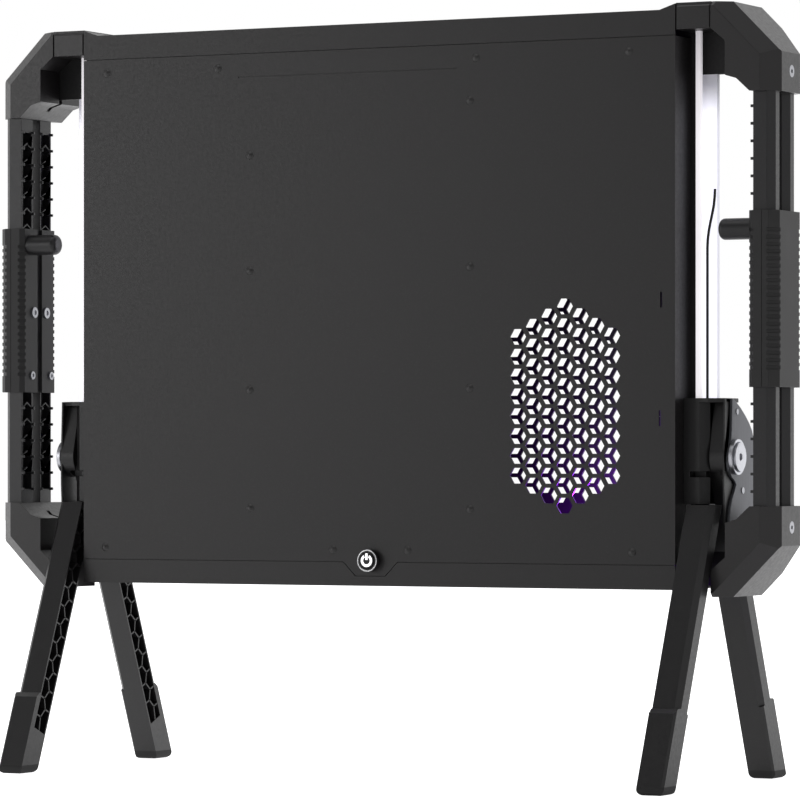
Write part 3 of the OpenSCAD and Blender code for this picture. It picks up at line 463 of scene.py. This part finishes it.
def round_edges(piece: bpy.types.Object, form: EdgeForm) -> None:
    """Rounds a piece's edges and lets its large flat faces keep their own normals."""
    radius, facets = form.value
    bevel = piece.modifiers.new("edge", "BEVEL")
    bevel.width = radius * MM
    bevel.segments = facets
    bevel.limit_method = "ANGLE"
    bevel.angle_limit = math.radians(BEVEL_FROM_DEG)
    weight = piece.modifiers.new("flat_faces", "WEIGHTED_NORMAL")
    weight.keep_sharp = True
    weight.weight = LARGE_FACES_LEAD


def soften(node: bpy.types.Object, form: EdgeForm, finish: Finish,
           work: bmesh.types.BMesh | None = None) -> bpy.types.Object:
    """Replaces a CAD node by a piece with rounded edges.

    Args:
        node: the CAD node.
        form: the rounding.
        finish: the finish.
        work: the piece's own form, where it isn't the node's.

    Returns:
        The new piece.
    """
    piece = new_piece(f"{node.name}_formed", work or merged_copy(node), finish)
    round_edges(piece, form)
    place_piece(piece, node)
    return piece


@dataclass
class NodeGroup:
    """Nodes of one kind that get the same edge and finish."""

    names: tuple[str, ...]
    form: EdgeForm | None
    finish: Finish
    slot: str

    def build(self, nodes: dict[str, bpy.types.Object]) -> None:
        """Softens the group's nodes, or only dresses them where no form is given."""
        for name in self.names:
            if self.form is None:
                dress(nodes[name], self.finish)
            else:
                soften(nodes[name], self.form, self.finish)
            LOG.info("%s: %s", name, self.finish.name.lower())


def both(*stems: str) -> tuple[str, ...]:
    """Returns the names of the left and right nodes for each stem."""
    return tuple(f"{stem}_{side}" for stem in stems for side in SIDES)


@dataclass
class CaseBox:
    """The vented box, its rails, centre plate and inner struts."""

    glow_x: float = 0.176
    glow_in: float = 0.019
    glow_rise: float = 0.044
    glow_radius: float = 0.01
    glow_power: float = 1.6
    glow_colour: str = "8a2be0"

    def build(self, nodes: dict[str, bpy.types.Object]) -> None:
        """Dresses the box and puts the violet glow inside it."""
        groups = (
            NodeGroup(("rear_cover", "front_cover"), EdgeForm.SHEET, Finish.COVER, "cover_coat"),
            NodeGroup(("top_rail", "bottom_rail"), EdgeForm.SHEET, Finish.COVER, "cover_coat"),
            NodeGroup(("centre_plate", *both("cover_strut")), None, Finish.INNER, "inner_coat"),
            NodeGroup(("board_standoffs",), None, Finish.BRASS, "standoff_brass"),
            NodeGroup(("cover_screws", "front_screws"), None, Finish.SCREW, "dark_screw"),
        )
        for group in groups:
            group.build(nodes)
        self.light_inside()

    def light_inside(self) -> None:
        """Adds the violet light that shows through the lower end of the vent."""
        low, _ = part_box("rear_cover")
        lamp = bpy.data.lights.new("violet_inside", "POINT")
        lamp.energy = self.glow_power
        lamp.color = linear(self.glow_colour)[:3]
        lamp.shadow_soft_size = self.glow_radius
        holder = bpy.data.objects.new("violet_inside", lamp)
        holder.location = (self.glow_x, low.y + self.glow_in, low.z + self.glow_rise)
        bpy.context.scene.collection.objects.link(holder)


@dataclass
class RingFrame:
    """The four corner brackets with their blocks and the carrying handles between them."""

    def build(self, nodes: dict[str, bpy.types.Object]) -> None:
        """Dresses the brackets, rails, grips and their screws."""
        groups = (
            NodeGroup(both("bracket_top", "bracket_bottom"), EdgeForm.CASTING, Finish.RING, "ring_coat"),
            NodeGroup(both("corner_block"), EdgeForm.SHEET, Finish.RING, "ring_coat"),
            NodeGroup(both("rail_rear", "rail_front"), EdgeForm.EXTRUSION, Finish.RAIL, "rail_coat"),
            NodeGroup(both("grip_outer", "grip_inner"), EdgeForm.MOULDING, Finish.GRIP, "grip_rubber"),
            NodeGroup(both("grip_peg"), None, Finish.PEG, "peg_plastic"),
            NodeGroup(("grip_screws", "bracket_screws"), None, Finish.STEEL, "bright_steel"),
        )
        for group in groups:
            group.build(nodes)


@dataclass
class SideLights:
    """The lit bars, diffusers and strips beside the box, and the lead to them."""

    film_t: float = 0.25
    plate_y: float = 0.0

    def build(self, nodes: dict[str, bpy.types.Object]) -> None:
        """Dresses the lit pieces and turns the diffusers' film round the plate's edge."""
        groups = (
            NodeGroup(both("light_bar"), EdgeForm.MACHINED, Finish.BAR, "diffuser_plastic"),
            NodeGroup(both("diffuser"), None, Finish.DIFFUSER, "diffuser_plastic"),
            NodeGroup(both("light_strip"), None, Finish.VIOLET, "light_strip"),
            NodeGroup(("light_lead",), None, Finish.LEAD, "lead_jacket"),
        )
        for group in groups:
            group.build(nodes)
        for side, sign in SIGNED_SIDES:
            self.fold_film(nodes[f"diffuser_{side}"], sign)

    def fold_film(self, node: bpy.types.Object, sign: int) -> None:
        """Adds the folded edge of a diffuser, which covers the centre plate's edge."""
        low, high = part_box(node.name)
        edge = high.x if sign > 0 else low.x
        film = self.film_t * MM
        middle = (edge + sign * film / 2, (low.y + self.plate_y) / 2, (low.z + high.z) / 2)
        work = bmesh.new()
        bar = bmesh.ops.create_cube(work, size=1.0)["verts"]
        bmesh.ops.scale(work, vec=(film, self.plate_y - low.y, high.z - low.z), verts=bar)
        bmesh.ops.translate(work, vec=middle, verts=bar)
        fold = new_piece(f"{node.name}_fold", work, Finish.FOLD)
        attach(fold, node["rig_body"])
        LOG.info("%s: folded edge", node.name)


@dataclass(frozen=True)
class LegFrame:
    """A leg's own plane: u across the leg, v along it from the hub, both in millimetres."""

    side: int
    lean: int
    hub_z: float = 230.0
    spread_deg: float = 23.0
    face_x: float = 244.0

    def point(self, x_in: float, u: float, v: float) -> Vector:
        """Returns the place of a point that lies x_in deeper than the leg's inner face."""
        turn = math.radians(self.spread_deg)
        y = u * math.cos(turn) + v * math.sin(turn)
        z = v * math.cos(turn) - u * math.sin(turn)
        return Vector((self.side * (self.face_x + x_in), self.lean * y, self.hub_z + z)) * MM

    def read(self, place: Vector) -> tuple[float, float, float]:
        """Returns the depth below the inner face, u and v of a place."""
        turn = math.radians(self.spread_deg)
        y, z = self.lean * place.y / MM, place.z / MM - self.hub_z
        u = y * math.cos(turn) - z * math.sin(turn)
        v = y * math.sin(turn) + z * math.cos(turn)
        return self.side * place.x / MM - self.face_x, u, v


@dataclass
class LegPocket:
    """The long pocket in a leg's inner face with its honeycomb of thin ribs, in the leg's own plane."""

    frame: LegFrame
    half: float = 7.7
    top: float = -45.0
    low: float = -217.2
    depth: float = 12.0
    pitch: float = 14.4
    rib: float = 1.1
    recess: float = 0.25
    seat: float = 0.3
    play: float = 0.01

    def open_leg(self, node: bpy.types.Object) -> bmesh.types.BMesh:
        """Copies the leg's mesh and gives it one plain pocket in place of its pattern.

        Args:
            node: the leg's CAD node.

        Returns:
            The leg's form, with the pocket open towards the case.
        """
        work = joined_copy(node)
        bmesh.ops.delete(work, geom=[f for f in work.faces if self.is_old(f)], context="FACES")
        rim = [e for e in work.edges if e.is_boundary]
        half = self.half
        corners = ((-half, self.top), (half, self.top), (half, self.low), (-half, self.low))
        mouth = [work.verts.new(self.frame.point(0.0, u, v)) for u, v in corners]
        floor = [work.verts.new(self.frame.point(self.depth, u, v)) for u, v in corners]
        lip = [work.edges.new((mouth[i], mouth[(i + 1) % 4])) for i in range(4)]
        normal = Vector((-self.frame.side, 0.0, 0.0))
        bmesh.ops.triangle_fill(work, edges=rim + lip, normal=normal, use_beauty=True)
        for i in range(4):
            work.faces.new((mouth[i], mouth[(i + 1) % 4], floor[(i + 1) % 4], floor[i]))
        work.faces.new(floor)
        bmesh.ops.recalc_face_normals(work, faces=work.faces)
        clear_flat_faces(work)
        return work

    def is_old(self, face: bmesh.types.BMFace) -> bool:
        """Tells whether a face belongs to the inner face or to what is cut into it."""
        seen = [self.frame.read(vert.co) for vert in face.verts]
        if all(abs(depth) < self.play for depth, _, _ in seen):
            return True
        return all(-self.play < depth < self.depth + self.play
                   and abs(u) < self.half + 2 * self.play
                   and self.low - self.seat < v < self.top + self.seat for depth, u, v in seen)

    def ribs(self) -> bmesh.types.BMesh:
        """Builds the ribs: a bent rib down the middle and a short one to the frame from each bend.

        A cell is as high as the pitch, and the bends lie a quarter of its side off the middle.
        """
        work = bmesh.new()
        step, reach = self.pitch / 2, self.pitch / math.sqrt(3) / 4
        count = int((self.top - self.low) / step)
        bends = [(reach if k % 2 else -reach, self.top - 0.5 * step - k * step) for k in range(count)]
        for k, (u, v) in enumerate(bends):
            self.add_rib(work, (u, v), (math.copysign(self.half + self.seat, u), v))
            if k:
                self.add_rib(work, bends[k - 1], (u, v))
        self.add_rib(work, bends[0], (0.0, self.top + self.seat))
        self.add_rib(work, bends[-1], (0.0, self.low - self.seat))
        bmesh.ops.recalc_face_normals(work, faces=work.faces)
        return work

    def add_rib(self, work: bmesh.types.BMesh, start: tuple[float, float],
                end: tuple[float, float]) -> None:
        """Adds one straight rib between two points, run on at both ends so that it meets the next."""
        run = Vector((end[0] - start[0], end[1] - start[1]))
        side = Vector((-run.y, run.x)).normalized() * self.rib / 2
        ahead = run.normalized() * self.rib / 3
        a, b = Vector(start) - ahead, Vector(end) + ahead
        corners = [work.verts.new(self.frame.point(depth, *(place + sign * side)))
                   for depth in (self.recess, self.depth)
                   for place, sign in ((a, 1), (b, 1), (b, -1), (a, -1))]
        for ring in ((0, 1, 2, 3), (4, 5, 6, 7), (0, 1, 5, 4), (1, 2, 6, 5), (2, 3, 7, 6), (3, 0, 4, 7)):
            work.faces.new([corners[i] for i in ring])


@dataclass
class HingePlate:
    """The light plate behind a hub, two rivets and a black sheet behind the plate, which is painted shade:
    wider than the plate, it darkens the notch and the edge beside it. Y and Z are from the hub in
    millimetres.

    The outline runs down the far curved edge, along the foot, and back up by the lobe's notch and the cup.
    """

    side: int
    outline: tuple = (
        (-4.6, 40.9), (-1.5, 40.3), (2.0, 38.6), (10.0, 34.6), (18.0, 29.6), (26.0, 23.6), (31.0, 18.4),
        (34.0, 12.0), (36.0, 2.0), (37.5, -12.0), (39.0, -28.0), (39.4, -47.9), (-9.6, -47.9),
        (-9.0, -41.0), (-7.4, -34.0), (-4.4, -28.4), (-0.4, -23.4), (2.2, -19.4), (0.0, -17.0),
        (-6.2, -13.8), (-10.6, -9.4), (-12.0, -4.0), (-11.0, 2.0), (-8.0, 8.0), (-5.6, 20.0),
    )
    # Outline of the black sheet, painted shade: it reaches past the plate to darken the notch and the edge
    # beside it.
    shade_backing: tuple = (
        (-12.6, 40.9), (-3.0, 40.2), (8.0, 34.0), (16.0, 28.0), (20.0, 10.0), (20.0, -20.0),
        (12.0, -40.0), (-8.0, -46.5), (-12.6, -46.5), (-14.2, -20.0), (-14.4, 0.0), (-13.4, 20.0),
    )
    shade_backing_t: float = 1.2
    rivets: tuple = ((3.6, 31.6, 2.0), (13.7, -23.4, 2.3))
    rivet_h: float = 1.0

    def mesh(self, outline: tuple, faces_x: tuple[float, float], hub: Vector,
             bore_r: float) -> bmesh.types.BMesh:
        """Builds a sheet with the hub bolt's bore.

        Args:
            outline: the sheet's corners in millimetres from the hub, along Y and Z.
            faces_x: the places of its two faces.
            hub: a point on the hub axis.
            bore_r: radius of the bore, in metres.

        Returns:
            The sheet.
        """
        work = bmesh.new()
        turns = [2 * math.pi * k / ROUND_STEPS for k in range(ROUND_STEPS)]
        loops = [[(y * MM, z * MM) for y, z in outline],
                 [(bore_r * math.cos(turn), bore_r * math.sin(turn)) for turn in turns]]
        edges = []
        for loop in loops:
            ring = [work.verts.new((faces_x[0], hub.y + y, hub.z + z)) for y, z in loop]
            edges += [work.edges.new((ring[i], ring[i - 1])) for i in range(len(ring))]
        bmesh.ops.triangle_fill(work, edges=edges, normal=(1.0, 0.0, 0.0), use_beauty=True)
        grown = bmesh.ops.extrude_face_region(work, geom=list(work.faces))["geom"]
        moved = [v for v in grown if isinstance(v, bmesh.types.BMVert)]
        bmesh.ops.translate(work, vec=(faces_x[1] - faces_x[0], 0.0, 0.0), verts=moved)
        bmesh.ops.recalc_face_normals(work, faces=work.faces)
        clear_flat_faces(work)
        return work

    def rivet_mesh(self, low: Vector, high: Vector, hub: Vector) -> bmesh.types.BMesh:
        """Builds the flat rivet heads on the plate's outer face."""
        work = bmesh.new()
        face = high.x if self.side > 0 else low.x
        turn = Matrix.Rotation(math.pi / 2, 4, "Y")
        for y, z, r in self.rivets:
            place = Matrix.Translation((face, hub.y + y * MM, hub.z + z * MM))
            bmesh.ops.create_cone(work, cap_ends=True, segments=ROUND_STEPS, radius1=r * MM,
                                  radius2=r * MM, depth=self.rivet_h * MM, matrix=place @ turn)
        return work


@dataclass
class Stand:
    """The A-frame legs with their hinges, hubs and rubber soles."""

    hub: Vector = field(default_factory=lambda: Vector((0.0, 0.0, 0.230)))
    bore_r: float = 4.05 * MM

    def build(self, nodes: dict[str, bpy.types.Object]) -> None:
        """Dresses the hinges and legs, and builds the legs' honeycomb and the hinge plates."""
        groups = (
            NodeGroup(both("hinge_housing", "hinge_cheek"), EdgeForm.MOULDING, Finish.HINGE, "hinge_coat"),
            NodeGroup(both("hub_cup", "hub_bolt"), EdgeForm.MACHINED, Finish.HUB, "bright_steel"),
            NodeGroup(both("foot_rear", "foot_front"), None, Finish.BOOT, "foot_rubber"),
        )
        for group in groups:
            group.build(nodes)
        for side, sign in SIGNED_SIDES:
            self.build_plate(nodes[f"hinge_plate_{side}"], sign)
            for lean, way in (("rear", 1), ("front", -1)):
                self.build_leg(nodes[f"leg_{lean}_{side}"], LegPocket(LegFrame(sign, way)))

    def build_leg(self, node: bpy.types.Object, pocket: LegPocket) -> None:
        """Replaces a leg by its form with the open pocket and adds the honeycomb ribs."""
        soften(node, EdgeForm.CASTING, Finish.LEG, pocket.open_leg(node))
        ribs = new_piece(f"{node.name}_ribs", pocket.ribs(), Finish.LEG, 20.0)
        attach(ribs, node["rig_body"])
        LOG.info("%s: pocket and honeycomb", node.name)

    def build_plate(self, node: bpy.types.Object, sign: int) -> None:
        """Replaces a hinge plate by its curved form and adds its rivets and a black sheet behind it,
        painted shade that darkens the plate's notch and the edge beside it.
        """
        low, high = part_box(node.name)
        plate = HingePlate(sign)
        soften(node, EdgeForm.MACHINED, Finish.PLATE,
               plate.mesh(plate.outline, (low.x, high.x), self.hub, self.bore_r))
        # Painted shade: a black sheet behind the plate, wider than it, darkens the notch and the edge
        # beside the plate.
        inner = low.x if sign > 0 else high.x
        deeper = inner - sign * plate.shade_backing_t * MM
        shade_backing = new_piece(f"{node.name}_backing",
                            plate.mesh(plate.shade_backing, (inner, deeper), self.hub, self.bore_r), Finish.HINGE)
        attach(shade_backing, node["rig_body"])
        rivets = new_piece(f"{node.name}_rivet", plate.rivet_mesh(low, high, self.hub), Finish.STEEL)
        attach(rivets, node["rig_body"])
        LOG.info("%s: curved plate", node.name)


@dataclass
class PowerSwitch:
    """The push button: black body, bright edge ring, plunger and the plain lit power mark on it."""

    mark_r: float = 3.6
    stroke: float = 1.8
    gap_deg: float = 62.0
    bar_l: float = 4.65
    raise_h: float = 0.12
    bar_rise: float = 0.62
    edge_w: float = 0.9
    edge_h: float = 0.35
    edge_round: float = 0.2
    edge_inset: float = 0.1

    def build(self, nodes: dict[str, bpy.types.Object]) -> None:
        """Dresses the switch and adds its bright edge and the mark on the plunger's face."""
        soften(nodes["button_bezel"], EdgeForm.MACHINED, Finish.SWITCH_BODY)
        soften(nodes["power_button"], EdgeForm.MACHINED, Finish.PLUNGER)
        dress(nodes["button_barrel"], Finish.STEEL)
        dress(nodes["button_nut"], Finish.STEEL)
        mark_form = self.mark_mesh(self.face_centre("power_button"))
        mark = new_piece("power_mark", mark_form, Finish.MARK)
        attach(mark, "button")
        edge_form = self.edge_mesh(self.face_centre("button_bezel"))
        edge = new_piece("switch_edge_ring", edge_form, Finish.SWITCH_RING)
        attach(edge, nodes["button_bezel"]["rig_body"])
        LOG.info("power_mark and switch_edge_ring on the switch")

    def face_centre(self, name: str) -> Vector:
        """Returns the middle of a node's rear face."""
        low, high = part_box(name)
        return Vector(((low.x + high.x) / 2, low.y, (low.z + high.z) / 2))

    def edge_mesh(self, centre: Vector) -> bmesh.types.BMesh:
        """Builds the bright edge: a thin ring with a rounded front, spun round the switch.

        Args:
            centre: the middle of the body's rear face.

        Returns:
            The ring, seated on the body's edge.
        """
        work = bmesh.new()
        low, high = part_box("button_bezel")
        outer = (high.x - low.x) / 2 - self.edge_inset * MM
        inner, rise, turn_in = outer - self.edge_w * MM, self.edge_h * MM, self.edge_round * MM
        profile = [(outer, 0.3 * rise), (outer, -0.6 * rise), (outer - turn_in, -rise),
                   (inner + turn_in, -rise), (inner, -0.6 * rise), (inner, 0.3 * rise)]
        ring = [work.verts.new((x, y, 0.0)) for x, y in profile]
        edges = [work.edges.new((ring[i], ring[i - 1])) for i in range(len(ring))]
        bmesh.ops.spin(work, geom=[*ring, *edges], cent=(0, 0, 0), axis=(0, 1, 0), angle=2 * math.pi,
                       steps=64, use_merge=True)
        bmesh.ops.recalc_face_normals(work, faces=work.faces)
        bmesh.ops.translate(work, vec=centre, verts=work.verts)
        return work

    def mark_mesh(self, centre: Vector) -> bmesh.types.BMesh:
        """Builds a broken ring by spin and an upright bar.

        Args:
            centre: the middle of the plunger's face.

        Returns:
            The mark, raised a little over the face.
        """
        work = bmesh.new()
        half, thick = self.stroke / 2 * MM, self.raise_h * MM
        inner, outer = self.mark_r * MM - half, self.mark_r * MM + half
        start = math.radians(90 + self.gap_deg / 2)
        corners = [(inner, 0.0), (outer, 0.0), (outer, -thick), (inner, -thick)]
        turn = Matrix.Rotation(-start, 4, "Y")
        ring = [work.verts.new(turn @ Vector((x, y, 0.0))) for x, y in corners]
        face = work.faces.new(ring)
        bmesh.ops.spin(work, geom=[face, *face.edges, *face.verts], cent=(0, 0, 0), axis=(0, -1, 0),
                       angle=math.radians(360 - self.gap_deg), steps=40)
        bar = bmesh.ops.create_cube(work, size=1.0)["verts"]
        bmesh.ops.scale(work, vec=(self.stroke * MM, thick, self.bar_l * MM), verts=bar)
        bmesh.ops.translate(work, vec=(0, -thick / 2, self.bar_l * MM * self.bar_rise), verts=bar)
        bmesh.ops.recalc_face_normals(work, faces=work.faces)
        bmesh.ops.translate(work, vec=centre, verts=work.verts)
        return work


@dataclass
class Studio:
    """Pale floor, soft light and the camera at the photograph's angle."""

    turn_deg: float = 27.0
    distance: float = 3.43
    aim_x: float = 0.024
    aim_y: float = -0.031
    camera_z: float = 0.230
    focal_px: float = 4800.0
    frame_px: float = 800.0
    axis_row_px: float = 457.0
    floor_r: float = 14.0
    floor_away: tuple = (-0.454, 0.891, 0.0)
    floor_dim_at: float = -0.3
    floor_full_at: float = 0.4
    sky_towards: tuple = (0.1, 1.0, -0.2)
    lights: tuple = (
        ("left_panel", (-2.9, -3.2, 0.9), (-0.1, 0.0, 0.35), (2.0, 1.4), 26.0),
        ("top_panel", (-0.4, -0.6, 3.4), (0.0, 0.0, 0.3), (2.4, 2.4), 21.0),
    )

    def build(self) -> None:
        """Makes the camera, the floor, the world and the lights."""
        self.make_camera()
        self.make_floor()
        self.make_world()
        for name, place, aim, size, power in self.lights:
            self.make_panel(name, Vector(place), Vector(aim), size, power)
        bpy.context.scene.view_settings.view_transform = "Standard"

    def make_camera(self) -> None:
        """Puts the camera where the photograph was taken from, fitted to the feet, hubs and cover."""
        turn = math.radians(self.turn_deg)
        lens = bpy.data.cameras.new("photograph")
        lens.sensor_width = 36.0
        lens.lens = lens.sensor_width * self.focal_px / self.frame_px
        lens.shift_y = (self.axis_row_px - self.frame_px / 2) / self.frame_px
        lens.clip_end = 60.0
        camera = bpy.data.objects.new("photograph", lens)
        camera.location = (self.aim_x + self.distance * math.sin(turn),
                           self.aim_y - self.distance * math.cos(turn), self.camera_z)
        camera.rotation_euler = (math.pi / 2, 0.0, turn)
        bpy.context.scene.collection.objects.link(camera)
        bpy.context.scene.camera = camera

    def make_floor(self) -> None:
        """Lays a wide pale disc under the case."""
        work = bmesh.new()
        bmesh.ops.create_circle(work, cap_ends=True, radius=self.floor_r, segments=96)
        mesh = bpy.data.meshes.new("floor")
        work.to_mesh(mesh)
        work.free()
        mesh.materials.append(self.floor_material())
        floor = bpy.data.objects.new("floor", mesh)
        bpy.context.scene.collection.objects.link(floor)

    def floor_material(self) -> bpy.types.Material:
        """Builds a matt white paper floor with a faint mottle, which glows more the further it lies behind.

        The camera sees the whole floor bright, and the case gets the light of the far part.
        """
        material, tree, place = new_material("pale_floor")
        cloud = add_node(tree, "ShaderNodeTexNoise", {"Scale": 2.0, "Detail": 2.0}, {"Vector": place})
        colour = add_node(tree, "ShaderNodeMix",
                          {"data_type": "RGBA", 6: linear("f4f4f5"), 7: linear("fafafa")},
                          {0: cloud.outputs["Fac"]})
        behind = add_node(tree, "ShaderNodeVectorMath", {"operation": "DOT_PRODUCT", 1: self.floor_away},
                          {0: place})
        glow = add_node(tree, "ShaderNodeMapRange",
                        {"From Min": self.floor_dim_at, "From Max": self.floor_full_at,
                         "To Min": 0.05, "To Max": 1.0},
                        {"Value": behind.outputs["Value"]})
        path = add_node(tree, "ShaderNodeLightPath", {}, {})
        shown = add_node(tree, "ShaderNodeMath", {"operation": "MAXIMUM"},
                         {0: glow.outputs[0], 1: path.outputs["Is Camera Ray"]})
        shader = add_node(tree, "ShaderNodeBsdfPrincipled", {"Roughness": 0.9, "Specular IOR Level": 0.1},
                          {"Base Color": colour.outputs[2], "Emission Color": colour.outputs[2],
                           "Emission Strength": shown.outputs[0]})
        close_material(tree, shader)
        return material

    def make_world(self) -> None:
        """Makes a white surround, brightest behind the case and dimmest before it."""
        world = bpy.data.worlds.new("surround")
        bpy.context.scene.world = world
        world.use_nodes = True
        tree = world.node_tree
        tree.nodes.clear()
        place = add_node(tree, "ShaderNodeTexCoord", {}, {})
        towards = add_node(tree, "ShaderNodeVectorMath", {"operation": "DOT_PRODUCT", 1: self.sky_towards},
                           {0: place.outputs["Generated"]})
        level = add_node(tree, "ShaderNodeMapRange",
                         {"From Min": -0.9, "From Max": 0.45, "To Min": 0.16, "To Max": 1.0},
                         {"Value": towards.outputs["Value"]})
        lighting = add_node(tree, "ShaderNodeBackground", {"Color": (1.0, 1.0, 1.0, 1.0)},
                            {"Strength": level.outputs[0]})
        seen = add_node(tree, "ShaderNodeBackground", {"Color": (1.0, 1.0, 1.0, 1.0), "Strength": 1.0},
                        {})
        path = add_node(tree, "ShaderNodeLightPath", {}, {})
        mix = add_node(tree, "ShaderNodeMixShader", {},
                       {0: path.outputs["Is Camera Ray"], 1: lighting.outputs[0], 2: seen.outputs[0]})
        add_node(tree, "ShaderNodeOutputWorld", {}, {"Surface": mix.outputs[0]})

    def make_panel(self, name: str, place: Vector, aim: Vector, size: tuple[float, float],
                   power: float) -> None:
        """Adds one soft light panel.

        Args:
            name: the light's name.
            place: its middle.
            aim: the point it faces.
            size: width and height.
            power: watts.
        """
        lamp = bpy.data.lights.new(name, "AREA")
        lamp.shape = "RECTANGLE"
        lamp.size, lamp.size_y = size
        lamp.energy = power
        panel = bpy.data.objects.new(name, lamp)
        panel.location = place
        panel.rotation_mode = "QUATERNION"
        panel.rotation_quaternion = (aim - place).to_track_quat("-Z", "Y")
        bpy.context.scene.collection.objects.link(panel)


def main() -> None:
    """Builds the studio and dresses the case, sub-assembly by sub-assembly."""
    logging.basicConfig(level=logging.INFO, format="%(name)s: %(message)s")
    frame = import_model()
    nodes = frame["nodes"]
    Studio().build()
    for part in (CaseBox(), RingFrame(), SideLights(), Stand(), PowerSwitch()):
        part.build(nodes)


if __name__ == "__main__":
    main()
